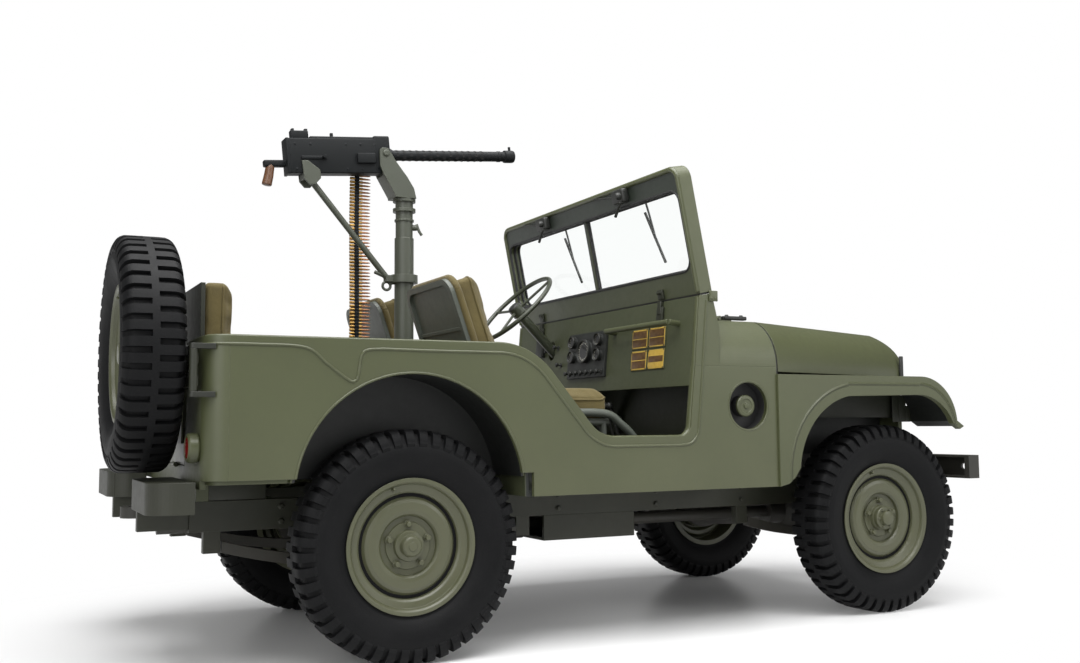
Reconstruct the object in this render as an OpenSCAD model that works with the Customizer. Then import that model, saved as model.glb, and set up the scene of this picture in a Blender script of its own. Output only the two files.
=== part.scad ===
// Light four by four field car with an open tub, a folding windshield,
// a side-hung spare wheel and a display gun on a pedestal. Millimetres.
// X runs forward, Y to the left, Z up; the origin is on the ground
// under the middle of the bounding box.

/* [Wheels] */
// Distance between the axles
wheel_base = 2057; // [1900:1:2200]
// Rear axle position along the car
rear_axle_x = -852; // [-900:1:-800]
// Distance between the tyre centre planes
track = 1251; // [1150:1:1350]
// Tyre outside radius at the tips of the lugs
tyre_r = 380; // [350:1:400]
// Radius of the tyre's bead seat
bead_r = 213; // [200:1:230]
// Steering pivot distance from the centre line
kingpin_y = 525; // [500:1:550]

/* [Body] */
// Half of the body width
body_hw = 760; // [720:1:790]
// Thickness of a body side
wall = 18; // [10:1:30]
// Height of the rail along the top of the tub
rail_z = 1048; // [1000:1:1100]
// Rear face of the tub
tub_rear_x = -1527; // [-1560:1:-1500]
// Height of the door sill
sill_z = 727; // [690:1:760]
// Front edge of the door opening
door_front_x = 217; // [190:1:250]
// Seam between the cowl and the hood
seam_x = 604; // [580:1:630]
// Height where the side panels end and the cowl's shoulder starts
shoulder_z = 985; // [960:1:1000]
// Top of the cowl in the middle
cowl_top_z = 1204; // [1190:1:1215]
// Underside of the floor
floor_z = 530; // [500:1:560]
// Level of the rear load floor
bed_z = 615; // [600:1:700]

/* [Rear arch] */
// Centre of the rear wheel arch along the car
arch_x = -867; // [-900:1:-840]
// Height of the rear wheel arch centre
arch_z = 550; // [520:1:580]
// Radius of the rear wheel arch
arch_r = 390; // [385:1:410]

/* [Front end] */
// Front face of the grille
grille_x = 1483; // [1450:1:1520]
// Half of the grille width
grille_hw = 520; // [480:1:560]
// Top of the front fenders
fender_z = 958; // [930:1:990]
// Front face of the bumper
bumper_x = 1760; // [1720:1:1790]
// Number of upright slots in the grille
slot_count = 9; // [8:1:11]

/* [Windshield] */
// Hinge line along the car
shield_x = 318; // [300:1:340]
// Hinge line height
shield_z = 1262; // [1240:1:1290]
// Lean of the windshield to the rear in degrees
shield_lean = 11; // [5:1:15]
// Length of the windshield from hinge to top
shield_h = 492; // [450:1:520]
// Half of the windshield width, flush with the body sides
shield_hw = body_hw;
// Width of the windshield's side posts
post_w = 25; // [15:1:40]

/* [Frame] */
// Outside face of the frame rails
frame_hw = 365; // [350:1:380]
// Width of a frame rail
rail_w = 50; // [40:1:70]
// Bottom of the frame rails
frame_z = 430; // [400:1:450]

/* [Gun] */
// Pedestal position along the car
post_x = -630; // [-660:1:-600]
// Pedestal tube radius
post_r = 38; // [30:1:45]
// Upward tilt of the gun in degrees
gun_tilt = 5.4; // [0:0.1:10]

/* [Output] */
// Sub-part to show

/* [Hidden] */
$fn = 64;
front_axle_x = rear_axle_x + wheel_base;
wheel_y = track / 2;
wheel_z = tyre_r;
frame_top = floor_z;
rear_spring = 540;
front_spring = 440;
inner_y = body_hw - wall;
spare_x = tub_rear_x - 139;
carrier_x = tub_rear_x - 33;
spring_y = frame_hw - 47;
shaft_y = 235 - frame_hw;
engine_hw = frame_hw - 195;
exhaust_y = 135 - frame_hw;
hinge_y = 15 - body_hw;
spare_y = -372;
spare_z = 1009;
deck = 16;
corner_r = 70;
corner_x = tub_rear_x + corner_r;
corner_y = body_hw - corner_r;

green = [0.36, 0.38, 0.27];
dark = [0.12, 0.12, 0.12];
steel = [0.3, 0.3, 0.3];
tan_cloth = [0.62, 0.55, 0.4];

// points on an arc about c, from angle a to angle b
function arc(c, r, a, b, n = 12) =
    [for (i = [0 : n]) let (t = a + (b - a) * i / n) c + r * [cos(t), sin(t)]];
// outline of a rectangle with round corners
function round_rect(x0, z0, x1, z1, r, n = 8) = concat(
    arc([x1 - r, z1 - r], r, 0, 90, n), arc([x0 + r, z1 - r], r, 90, 180, n),
    arc([x0 + r, z0 + r], r, 180, 270, n), arc([x1 - r, z0 + r], r, 270, 360, n));

// plane figure in X and Z, made solid between two Y planes
module slab_y(y0, y1) {
    translate([0, y1, 0]) rotate([90, 0, 0]) linear_extrude(y1 - y0) children();
}
// plane figure in Y and Z, made solid between two X planes
module slab_x(x0, x1) {
    translate([x0, 0, 0]) rotate([90, 0, 90]) linear_extrude(x1 - x0) children();
}
// box between two corner points
module box(lo, hi) {
    translate(lo) cube(hi - lo);
}
// round bar between two points
module bar(p, q, r) {
    d = q - p;
    translate(p) rotate([0, acos(d[2] / norm(d)), atan2(d[1], d[0])])
        cylinder(r = r, h = norm(d));
}
// the same piece on both sides of the car
module both() {
    children();
    mirror([0, 1, 0]) children();
}

// the two rails of the ladder frame, with hangers for the spring ends
module chassis_rails() {
    color(dark) both() {
        box([tub_rear_x + 27, frame_hw - rail_w, frame_z], [1700, frame_hw, frame_top]);
        for (x = [rear_axle_x - rear_spring - 60, rear_axle_x + rear_spring,
            front_axle_x - front_spring - 60, front_axle_x + front_spring])
            box([x, spring_y, 358], [x + 55, spring_y + 34, frame_z]);
    }
}
// members between the rails
module cross_members() {
    color(dark) for (x = [tub_rear_x + 27, -1230, -720, -170, 1000, 1600])
        box([x, -frame_hw + rail_w, 470], [x + 60, frame_hw - rail_w, frame_top - 10]);
}

module front_bumper() {
    color(dark) difference() {
        box([1700, -685, 526], [bumper_x, 685, 626]);
        both() translate([1690, 610, 576]) rotate([0, 90, 0]) cylinder(r = 13, h = 90);
        box([1690, -660, 536], [bumper_x - 12, 660, 616]);
    }
    color(dark) both() box([1700, frame_hw - 35, 536], [bumper_x - 12, frame_hw - 5, 616]);
}

// two short rear bars with rounded ends and the rear cross bar
module rear_bumperettes() {
    bar_x = tub_rear_x - 73;
    color(green) both() {
        difference() {
            slab_z_plate(515, 610) polygon(concat(
                arc([bar_x, 660], 80, 90, 180), arc([bar_x, 380], 80, 180, 270),
                [[tub_rear_x - 20, 300], [tub_rear_x - 20, 740]]));
            slab_z_plate(527, 598) polygon(concat(
                arc([bar_x, 660], 68, 90, 180), arc([bar_x, 380], 68, 180, 270),
                [[tub_rear_x + 27, 312], [tub_rear_x + 27, 728]]));
        }
        box([bar_x - 60, frame_hw - 43, 440], [tub_rear_x + 27, frame_hw - 7, 520]);
        box([bar_x - 60, frame_hw - 43, 516], [bar_x + 40, frame_hw - 7, 606]);
    }
}
module slab_z_plate(z0, z1) {
    translate([0, 0, z0]) linear_extrude(z1 - z0) children();
}

module tow_pintle() {
    color(steel) {
        box([tub_rear_x + 15, -70, 440], [tub_rear_x + 27, 70, 520]);
        translate([tub_rear_x - 63, 0, 480]) rotate([0, 90, 0]) cylinder(r = 24, h = 80);
        // eye with an upright bore
        translate([tub_rear_x - 93, 0, 460]) difference() {
            cylinder(r = 52, h = 40);
            translate([0, 0, -10]) cylinder(r = 26, h = 60);
        }
    }
}

// axle beam with a gear case, its pinion nose and its spring pads
module axle_beam(half, nose) {
    rotate([90, 0, 0]) cylinder(r = 38, h = 2 * half, center = true);
    translate([0, shaft_y, 0]) sphere(r = 115);
    translate([0, shaft_y, 0]) rotate([0, nose * 90, 0]) cylinder(r = 55, h = 180);
    both() box([-45, spring_y - 6, -59], [45, spring_y + 40, -20]);
}
module front_axle() {
    color(dark) translate([front_axle_x, 0, wheel_z]) {
        axle_beam(500, -1);
        both() translate([0, kingpin_y, 0]) {
            sphere(r = 55);
            for (s = [-1, 1]) translate([0, 0, s * 55]) cylinder(r = 14, h = 9, center = true);
        }
    }
}
module rear_axle() {
    color(dark) translate([rear_axle_x, 0, wheel_z]) {
        axle_beam(580, 1);
        both() translate([0, 593, 0]) rotate([90, 0, 0]) cylinder(r = 130, h = 16);
    }
}

// one curved spring pack with rolled ends
module spring_pack(x, half) {
    r = half * 3.6;
    translate([x, 0, 0]) slab_y(spring_y, spring_y + 34) difference() {
        intersection() {
            translate([0, 282 + r]) circle(r = r, $fn = 360);
            translate([-half, 200]) square([2 * half, 230]);
        }
        translate([0, 320 + r]) circle(r = r, $fn = 360);
    }
}
module leaf_springs() {
    color(dark) both() {
        spring_pack(rear_axle_x, rear_spring);
        spring_pack(front_axle_x, front_spring);
    }
}

module engine_block() {
    color(steel) {
        box([760, -engine_hw, frame_top], [1330, engine_hw, 1000]);
        box([1330, -60, 700], [1340, 60, 820]);
    }
}
module radiator() {
    color(dark) box([1340, -330, 640], [1400, 330, 1040]);
}
module gearbox() {
    color(steel) {
        box([300, -105, 430], [760, 105, 640]);
        box([-60, shaft_y - 50, 360], [300, 100, 520]);
    }
}
module propeller_shafts() {
    color(dark) {
        bar([300, shaft_y, wheel_z], [front_axle_x - 180, shaft_y, wheel_z], 25);
        bar([rear_axle_x + 180, shaft_y, wheel_z], [-60, shaft_y, wheel_z], 25);
    }
}
module skid_plate() {
    color(dark) {
        box([-202, -frame_hw, 335], [198, frame_hw, 347]);
        both() box([-202, frame_hw - 12, 347], [198, frame_hw, frame_z]);
    }
}
module exhaust() {
    color(dark) {
        bar([tub_rear_x - 63, 85 - frame_hw, 440], [-640, 85 - frame_hw, 440], 18);
        bar([-640, 125 - frame_hw, 400], [-240, 125 - frame_hw, 400], 62);
        bar([-240, exhaust_y, 440], [800, exhaust_y, 440], 18);
        bar([800, exhaust_y, 440], [800, exhaust_y, 700], 18);
        box([780, exhaust_y, 640], [820, -engine_hw, 690]);
    }
}

// front floor with its gearbox cover, and the raised load floor behind
module floor_pan() {
    color(green) difference() {
        union() {
            box([-450, -inner_y, floor_z], [586, inner_y, floor_z + deck]);
            box([230, -150, floor_z + deck], [586, 150, 690]);
            box([-466, -inner_y, floor_z], [-450, inner_y, bed_z]);
            box([corner_x, -inner_y, bed_z - deck], [-450, inner_y, bed_z]);
            box([tub_rear_x + wall, -corner_y, bed_z - deck], [corner_x, corner_y, bed_z]);
            for (s = [-1, 1]) translate([corner_x, s * corner_y, bed_z - deck])
                cylinder(r = corner_r - wall, h = deck, $fn = 96);
            box([tub_rear_x + 47, -frame_hw, floor_z], [tub_rear_x + 87, frame_hw, bed_z]);
            box([-700, -frame_hw, floor_z], [-660, frame_hw, bed_z]);
        }
        box([242, -138, floor_z - 10], [600, 138, 678]);
        both() box([-1275, 505, 590], [-466, body_hw, 640]);
    }
}

// round-topped boxes inside the tub over the rear wheels
module wheelhouses() {
    color(green) both() intersection() {
        box([corner_x + 57, 400, bed_z - deck], [0, inner_y, 1000]);
        difference() {
            translate([arch_x, inner_y, arch_z]) rotate([90, 0, 0])
                cylinder(r = arch_r + 13, h = inner_y - 505, $fn = 96);
            translate([arch_x, body_hw, arch_z]) rotate([90, 0, 0])
                cylinder(r = arch_r, h = body_hw - 519, $fn = 96);
        }
    }
}

// front edge of the door opening at height z, which leans forward a little
function door_edge_x(z) = door_front_x - 12 + (z - sill_z) * 0.0923;
// edge of the tub from the rear corner along the rail, the door's sill and up its front, set in by w
function tub_edge(w) = concat([[corner_x, rail_z - w]],
    arc([-565, rail_z - 259], 259 - w, 90, 40, 24),
    arc([-115, sill_z + 131], 131 + w, 220, 270, 16),
    arc([door_edge_x(sill_z) - 45, sill_z + 45], 45 + w, -90, 0, 8),
    [[door_edge_x(shoulder_z) + w, shoulder_z]]);
function back_to_front(p) = [for (i = [len(p) - 1 : -1 : 0]) p[i]];

module side_panel(socket) {
    slab_y(inner_y, body_hw) difference() {
        polygon(concat(tub_edge(0), [[seam_x, shoulder_z], [seam_x, floor_z], [-440, floor_z],
            [-440, 611], [corner_x, 611]]));
        translate([arch_x, arch_z]) circle(r = arch_r, $fn = 96);
        if (socket) translate([socket_x, socket_z]) circle(r = 88, $fn = 96);
    }
    // rolled lip along the edge
    slab_y(inner_y - 16, inner_y) polygon(concat([[corner_x, rail_z]],
        [for (i = [1 : len(tub_edge(0)) - 1]) tub_edge(0)[i]],
        back_to_front([for (i = [1 : len(tub_edge(0)) - 1]) tub_edge(22)[i]]),
        [[corner_x, rail_z - 22]]));
}
module side_panel_left() {
    color(green) side_panel(false);
}
module side_panel_right() {
    color(green) mirror([0, 1, 0]) side_panel(true);
}
// deep round cup behind the hole in the right side, with a stub pipe in it
socket_x = 468;
socket_z = 837;
module side_socket() {
    color(green) translate([socket_x, -inner_y, socket_z]) rotate([-90, 0, 0]) {
        difference() {
            cylinder(r = 97, h = 46);
            translate([0, 0, -10]) cylinder(r = 88, h = 48);
        }
        translate([0, 0, 6]) cylinder(r = 40, h = 36);
    }
}

module rear_panel() {
    color(green) {
        slab_x(tub_rear_x, tub_rear_x + wall) difference() {
            polygon([[-corner_y, 585], [corner_y, 585], [corner_y, rail_z], [-corner_y, rail_z]]);
            polygon([[-420, 650], [420, 650], [420, 1100], [-420, 1100]]);
        }
        // quarter-round corners that meet the side panels
        both() translate([corner_x, corner_y, 611]) rotate([0, 0, 90]) rotate_extrude(angle = 90, $fn = 96)
            translate([corner_r - wall, 0]) square([wall, rail_z - 611]);
        // fixed halves of the spare carrier's hinge
        for (z = [862, 1006]) {
            box([carrier_x, hinge_y - 12, z], [tub_rear_x + 30, hinge_y + 12, z + 16]);
            translate([carrier_x, hinge_y, z]) cylinder(r = 12, h = 16);
        }
    }
}
module tailgate() {
    color(green) {
        box([tub_rear_x, -417, 653], [tub_rear_x + 14, 417, rail_z - 10]);
        box([tub_rear_x - 6, -380, 720], [tub_rear_x, 380, 980]);
        both() translate([tub_rear_x - 8, 300, 651]) rotate([90, 0, 0]) cylinder(r = 8, h = 60);
    }
}

// shoulder and crown of the cowl and hood, from the side to the middle
function crown(hw, zs, r, zt) = let (e = [hw - r + r * cos(72), zs + r * sin(72)])
    concat(arc([hw - r, zs], r, 0, 72, 20),
    [for (k = [0.8, 0.6, 0.4, 0.2]) [e[0] * k, zt - (zt - e[1]) * k * k]]);
function half_section(hw, zb, zs, r, zt) = concat([[hw, zb]], crown(hw, zs, r, zt));
function full_section(h) = concat(h,
    [for (i = [len(h) - 1 : -1 : 0]) [-h[i][0], h[i][1]]]);
column_top = [53, 400, 1300];
column_way = [0.7071, 0, -0.7071];

// scuttle between the doors and the hood, with the riser under the windshield, the dash and the firewall
module cowl() {
    dash_low = 912;
    color(green) difference() {
        union() {
            slab_x(door_front_x + 70, seam_x)
                polygon(full_section(crown(body_hw, shoulder_z, 195, cowl_top_z)));
            slab_y(-body_hw, body_hw) polygon([[door_edge_x(shoulder_z), shoulder_z],
                [door_edge_x(1247), 1247], [shield_x - 9, 1257], [340, 1130], [340, shoulder_z]]);
            slab_y(-inner_y + 16, inner_y - 16) polygon([[door_edge_x(dash_low), dash_low],
                [door_edge_x(shoulder_z + 5), shoulder_z + 5],
                [door_edge_x(shoulder_z + 5) + 17, shoulder_z + 5], [door_edge_x(dash_low) + 17, dash_low]]);
            box([seam_x - wall, -inner_y, floor_z], [seam_x, inner_y, shoulder_z + 5]);
        }
        // hollow of the scuttle and of the riser
        slab_x(300, seam_x - wall)
            polygon(full_section(half_section(body_hw - 24, shoulder_z - 60, shoulder_z, 171,
                cowl_top_z - 24)));
        slab_y(-inner_y, inner_y) polygon([[door_edge_x(dash_low) + 17, dash_low],
            [door_edge_x(1230) + 17, 1230],
            [shield_x - 22, 1234], [322, 1126], [322, dash_low]]);
        box([580, -150, 500], [610, 150, 690]);
        bar(column_top, column_top + 500 * column_way, 34);
    }
    // fixed halves of the windshield and hood hinges
    color(green) both() {
        bar([shield_x, 610.5, shield_z], [shield_x, 640, shield_z], 8.6);
        box([shield_x - 12, 610.5, 1200], [shield_x + 9, 640, shield_z]);
        bar([608, 300, 1207], [608, 339.5, 1207], 10);
        box([588, 300, 1180], [606, 339.5, 1207]);
    }
}

// the leaning face of the dash, about a point in its middle
module in_dash_frame() {
    translate([door_edge_x(1060) - 0.02, 0, 1060]) rotate([0, atan(0.0923), 0]) children();
}
module dash_fittings() {
    color(steel) in_dash_frame() {
        box([-12, -110, -88], [0, 215, 108]);
        for (p = [[-60, 70], [165, 70], [-60, 5], [165, 5]])
            translate([-24, p[0], p[1]]) rotate([0, 90, 0]) cylinder(r = 26, h = 13);
        translate([-26, 52, 25]) rotate([0, 90, 0]) cylinder(r = 50, h = 15);
        for (y = [-370, -495], z = [-36, 50])
            box([-4, y - 58, z - 40], [0, y + 58, z + 40]);
        // grab bar
        bar([-48, -636, 92], [-48, -168, 92], 11);
        for (y = [-636, -168]) bar([-48, y, 92], [0, y, 92], 11);
    }
}

// upright pressed panel with slots and lamp holes
module grille() {
    color(green) {
        slab_x(grille_x - 20, grille_x) difference() {
            polygon(concat([[-grille_hw, 705], [-385, 640], [385, 640], [grille_hw, 705]],
                arc([grille_hw - 170, 885], 170, 0, 90, 10),
                arc([-grille_hw + 170, 885], 170, 90, 180, 10)));
            for (i = [0 : slot_count - 1])
                polygon(round_rect((i - (slot_count - 1) / 2) * 62 - 17, 700,
                    (i - (slot_count - 1) / 2) * 62 + 17, 1000, 16));
            for (s = [-1, 1]) translate([s * 405, 915]) circle(r = 88, $fn = 96);
        }
        both() box([grille_x - 20, 320, frame_top], [grille_x, 360, 640]);
    }
}

module lamps() {
    color([0.85, 0.85, 0.8]) {
        both() {
            // head lamps
            translate([grille_x - 20, 405, 915]) rotate([0, 90, 0]) cylinder(r = 87.5, h = 24);
            translate([grille_x, 405, 915]) rotate([0, 90, 0]) cylinder(r = 97, h = 10);
            // marker lamps under them
            translate([grille_x, 405, 770]) rotate([0, 90, 0]) cylinder(r = 34, h = 30);
            // tail lamps
            translate([tub_rear_x - 38, 660, 710]) rotate([0, 90, 0]) cylinder(r = 45, h = 38);
        }
    }
}

// path along the top of a front fender, set in by w
function fender_top(w) = concat([[seam_x, fender_z - w]],
    arc([1348, fender_z - 200], 200 - w, 90, 5, 30), [[1585 - w, 752]]);
module fender_side() {
    slab_y(body_hw - 16, body_hw + 10) polygon(concat([[seam_x, floor_z]], fender_top(0), [[1562, 740]],
        arc([1339, 677], 205, 25, 90, 16), arc([1010, 572], 308, 100, 175, 20), [[677, 564], [647, 540]]));
}
module fender() {
    fender_side();
    difference() {
        slab_y(405, body_hw - 16) polygon(concat(fender_top(0), back_to_front(fender_top(16))));
        box([grille_x - 20, 400, 500], [1600, 525, 1100]);
    }
    // wall beside the engine bay
    box([seam_x, 385, 640], [grille_x - 20, 405, fender_z]);
}
module fender_left() {
    color(green) fender();
}
module fender_right() {
    color(green) mirror([0, 1, 0]) fender();
}

module steering_column() {
    color(green) {
        bar(column_top + 34.5 * column_way, column_top + 718 * column_way, 22);
        box([548, 355, 735], [586, 445, 815]);
    }
}

// hinged engine cover, a thin shell that narrows to the grille
module hood_form(in) {
    hull() {
        slab_x(seam_x + 8 + in, seam_x + 9 + in)
            polygon(full_section(half_section(body_hw - in, 967 - in * 3, shoulder_z, 195 - in,
                cowl_top_z - in)));
        slab_x(1400, 1401)
            polygon(full_section(half_section(548 - in, 967 - in * 3, shoulder_z, 178 - in, 1166 - in)));
        slab_x(1503 - in, 1504 - in)
            polygon(full_section(half_section(518 - in, 967 - in * 3, 978, 120 - in, 1108 - in)));
    }
}
module hood() {
    color(green) difference() {
        hood_form(0);
        hood_form(14);
        // the front lip stops above the grille
        box([1450, -500, 900], [1600, 500, 1035]);
    }
    color(green) both() {
        bar([608, 340, 1207], [608, 400, 1207], 10);
        box([610, 340, 1180], [640, 400, 1207]);
    }
}

// one front seat: tube legs and rails, and a pressed back pan
seat_x = -445;
seat_y = body_hw - 375;
seat_w = 430;
seat_rail_y = seat_w / 2 - 25;
back_lean = 19;
module seat_frame() {
    for (x = [-430, -60], y = [-seat_rail_y, seat_rail_y])
        bar([x, seat_y + y, floor_z + deck], [x, seat_y + y, 780], 13);
    for (y = [-seat_rail_y, seat_rail_y]) bar([-490, seat_y + y, 780], [-40, seat_y + y, 780], 13);
    for (x = [-430, -60]) bar([x, seat_y - seat_rail_y, 780], [x, seat_y + seat_rail_y, 780], 13);
    translate([seat_x, seat_y, 790]) rotate([0, -back_lean, 0]) {
        slab_x(-62, -44) polygon(round_rect(-seat_w / 2, 30, seat_w / 2, 545, 60));
        // rim and level ribs on its rear
        slab_x(-74, -62) difference() {
            polygon(round_rect(-seat_w / 2, 30, seat_w / 2, 545, 60));
            polygon(round_rect(22 - seat_w / 2, 52, seat_w / 2 - 22, 523, 42));
        }
        for (z = [205, 355]) box([-69, 22 - seat_w / 2, z], [-62, seat_w / 2 - 22, z + 12]);
        for (y = [-seat_rail_y, seat_rail_y]) bar([-52, y, -30], [-52, y, 60], 13);
    }
}
// rear bench: legs, a rail and a back board
module bench_frame() {
    rear = tub_rear_x + 87;
    color(green) {
        for (x = [rear, rear + 330], y = [-430, 430]) bar([x, y, bed_z], [x, y, 830], 13);
        for (x = [rear, rear + 330]) bar([x, -430, 830], [x, 430, 830], 13);
        for (y = [-430, 430]) bar([rear, y, 830], [rear + 330, y, 830], 13);
        box([rear - 54, -470, 820], [rear - 40, 470, 1240]);
        for (y = [-430, 430]) box([rear - 40, y - 13, 817], [rear, y + 13, 843]);
    }
}
module seat_frame_left() {
    color(green) seat_frame();
}
module seat_frame_right() {
    color(green) mirror([0, 1, 0]) seat_frame();
}
module seat_cushions() {
    color(tan_cloth) {
        both() {
            box([seat_x, seat_y - seat_w / 2, 793.5], [-30, seat_y + seat_w / 2, 885]);
            translate([seat_x, seat_y, 790]) rotate([0, -back_lean, 0])
                box([-44, -seat_w / 2 + 5, 110], [36, seat_w / 2 - 5, 545]);
        }
        box([tub_rear_x + 57, -480, 843.5], [tub_rear_x + 447, 480, 930]);
        box([tub_rear_x + 47, -480, 940], [tub_rear_x + 122, 480, 1257]);
    }
}

module levers() {
    color(dark) {
        translate([320, 20, 690]) cylinder(r = 30, h = 12);
        bar([320, 20, 698], [130, 25, 900], 9);
        translate([130, 25, 900]) sphere(r = 22);
        for (y = [-60, -100]) {
            translate([300, y, 690]) cylinder(r = 16, h = 12);
            bar([300, y, 698], [250, y, 850], 7);
            translate([250, y, 850]) sphere(r = 15);
        }
    }
}

// post on the load floor with its collars and the fork at the top
gun_at = [-719, 0, 1843];
module in_gun_frame() {
    translate(gun_at) rotate([0, -gun_tilt, 0]) children();
}
module gun_pedestal() {
    color(green) {
        translate([post_x, 0, 0]) rotate_extrude() polygon([[0, bed_z], [120, bed_z], [120, bed_z + 14],
            [post_r, bed_z + 14], [post_r, 1515], [34, 1515], [34, 1620], [45, 1620], [45, 1634],
            [35, 1634], [35, 1660], [45, 1660], [45, 1676], [0, 1676]]);
        for (a = [60, 180, 300]) translate([post_x, 0, 0]) rotate([0, 0, a])
            slab_y(-6, 6) polygon([[30, bed_z + 8], [112, bed_z + 8], [112, bed_z + 24], [30, 820]]);
        // leaning arm that forks round the gun
        slab_y(-45, 45) polygon([[-682, 1672], [-595, 1672], [-605, 1712], [-634, 1757], [-729, 1757],
            [-684, 1681]]);
        both() slab_y(35, 45) polygon([[-729, 1756], [-633.5, 1756], [-679, 1812], [-706, 1854],
            [-714, 1864], [-738, 1864], [-747, 1854], [-745, 1791]]);
    }
}

// outside shape of the gun only
module gun() {
    color(steel) in_gun_frame() {
        box([-387, -32, -77], [-20, 32, 58]);
        box([-20, -35, -60], [22, 35, 66]);
        box([-369, -14, 58], [-299, 14, 100]);
        rotate([0, 90, 0]) cylinder(r = 21.5, h = 576);
        translate([530, 0, 0]) rotate([0, 90, 0]) cylinder(r = 26, h = 46);
        translate([560, 0, 20]) box([-6, -4, 0], [6, 4, 22]);
        box([-480, -16, -50], [-387, 16, -22]);
        slab_y(-16, 16) polygon([[-430, -40], [-480, -40], [-494, -118], [-452, -122]]);
    }
}
module gun_strut() {
    color(dark) {
        difference() {
            translate([post_x, 0, 1335]) cylinder(r = 54, h = 32);
            translate([post_x, 0, 1330]) cylinder(r = post_r + 0.3, h = 42);
        }
        box([-710, -16, 1338], [-680, 16, 1364]);
        bar([-700, 0, 1351], [-1018, 0, 1726], 12);
        // stirrup under the gun
        in_gun_frame() {
            box([-335, -40, -99], [-275, 40, -77]);
            both() slab_y(32, 40) polygon([[-340, -30], [-318, -30], [-272, -66], [-272, -99], [-296, -122],
                [-318, -122], [-336, -99]]);
        }
        bar([-690, 0, 1351], [-752, 0, 1375], 7);
    }
}
// belt that hangs from the feed block on the left
module cartridge_belt() {
    color([0.5, 0.4, 0.2]) {
        in_gun_frame() box([-120, 32, -40], [-46, 46, 0]);
        box([-836, 42, 900], [-751, 70, 1812]);
    }
}

// windshield laid out upright from its hinge line, then leaned back
module in_shield_frame() {
    translate([shield_x, 0, shield_z]) rotate([0, -shield_lean, 0]) children();
}
pane_z0 = 92;
pane_z1 = 404;
divider = 9;
pane_outline = round_rect(post_w - shield_hw, pane_z0, shield_hw - post_w, pane_z1, 50);
module windshield_frame() {
    color(green) in_shield_frame() {
        slab_x(-62, -8) difference() {
            polygon(concat([[-shield_hw, 4], [shield_hw, 4]],
                arc([shield_hw - 55, shield_h - 55], 55, 0, 90),
                arc([55 - shield_hw, shield_h - 55], 55, 90, 180)));
            polygon(pane_outline);
        }
        // bar between the panes
        box([-46, -divider, pane_z0 - 4], [-24, divider, pane_z1 + 4]);
        // hinge ears at the foot
        both() {
            box([-16, 560, 4], [9, 610, 60]);
            bar([0, 560, 0], [0, 610, 0], 9);
            box([-9, 560, 0], [9, 610, 10]);
        }
    }
}
module windshield_glass() {
    color([0.7, 0.8, 0.8, 0.4]) in_shield_frame() slab_x(-38, -32) difference() {
        polygon(pane_outline);
        translate([-divider, 0]) square([2 * divider, shield_h]);
    }
}
module wipers() {
    color(dark) in_shield_frame() for (y = [-363, 317]) {
        translate([-94, y - 45, 418]) cube([32, 90, 56]);
        translate([-8, y - 35, 440]) rotate([0, 90, 0]) cylinder(r = 10, h = 22);
        bar([8, y - 35, 440], [8, y - 75, 255], 5);
        bar([8, y - 40, 365], [8, y - 120, 150], 5);
    }
}

// hollow ball over the end of the axle with the brake plate on it
module knuckle() {
    translate([front_axle_x, kingpin_y, wheel_z]) {
        turned() polygon(concat(arc([0, 0], 62, -14, 90), [[0, 68], [132, 68], [132, 56], [62, 56]],
            arc([0, 0], 80, 39, -11)));
        for (s = [-1, 1]) translate([0, 0, s * 86]) cylinder(r = 26, h = 24, center = true);
    }
}
module knuckle_left() {
    color(dark) knuckle();
}
module knuckle_right() {
    color(dark) mirror([0, 1, 0]) knuckle();
}

// wheel pieces about the Y axis, outer side towards +Y
module turned() {
    rotate([-90, 0, 0]) rotate_extrude($fn = 96) children();
}
module tyre_form() {
    turned() polygon(concat([[bead_r + 0.6, -61], [bead_r + 14, -64]],
        arc([300, -60], 34, 215, 265, 5), [[345, -92], [tyre_r - 10, -86], [tyre_r, -76]],
        [[tyre_r, 76], [tyre_r - 10, 86], [345, 92]],
        arc([300, 60], 34, 95, 145, 5), [[bead_r + 14, 64], [bead_r + 0.6, 61]]));
}
module rim_form(drum) {
    // outer face from the flange in to the hub, then back out along the inside
    turned() polygon([[222, 70], [210, 70], [204, 64], [200, 52], [180, 46], [173, 40], [168, 16], [162, 14],
        [160, 30], [152, 40], [140, 45], [116, 45], [104, 42], [98, 36], [96, 24], [78, 22], [76, 28],
        [52, 29], [49, 44], [36, 47], [34, 62], [28, 66], [0, 68], [0, 8], [94, 8], [100, 22],
        [110, 30], [140, 31], [147, 26], [151, 6], [156, 0], [173, 0], [178, 4], [184, 32], [196, 36],
        [200, 30], [200, -68], [222, -68], [222, -65], [bead_r, -62], [bead_r, 62], [222, 65]]);
    if (drum) turned() polygon([[0, -32], [40, -32], [40, -22], [135, -22], [135, 20], [94, 14], [0, 14]]);
}
module at_wheel(x, side) {
    translate([x, side * wheel_y, wheel_z]) rotate([0, 0, side > 0 ? 0 : 180]) children();
}
module tyre_fl() {
    color(dark) at_wheel(front_axle_x, 1) tyre_form();
}
module rim_fl() {
    color(green) at_wheel(front_axle_x, 1) rim_form(true);
}
module tyre_fr() {
    color(dark) at_wheel(front_axle_x, -1) tyre_form();
}
module rim_fr() {
    color(green) at_wheel(front_axle_x, -1) rim_form(true);
}
module tyre_rl() {
    color(dark) at_wheel(rear_axle_x, 1) tyre_form();
}
module rim_rl() {
    color(green) at_wheel(rear_axle_x, 1) rim_form(true);
}
module tyre_rr() {
    color(dark) at_wheel(rear_axle_x, -1) tyre_form();
}
module rim_rr() {
    color(green) at_wheel(rear_axle_x, -1) rim_form(true);
}

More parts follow.
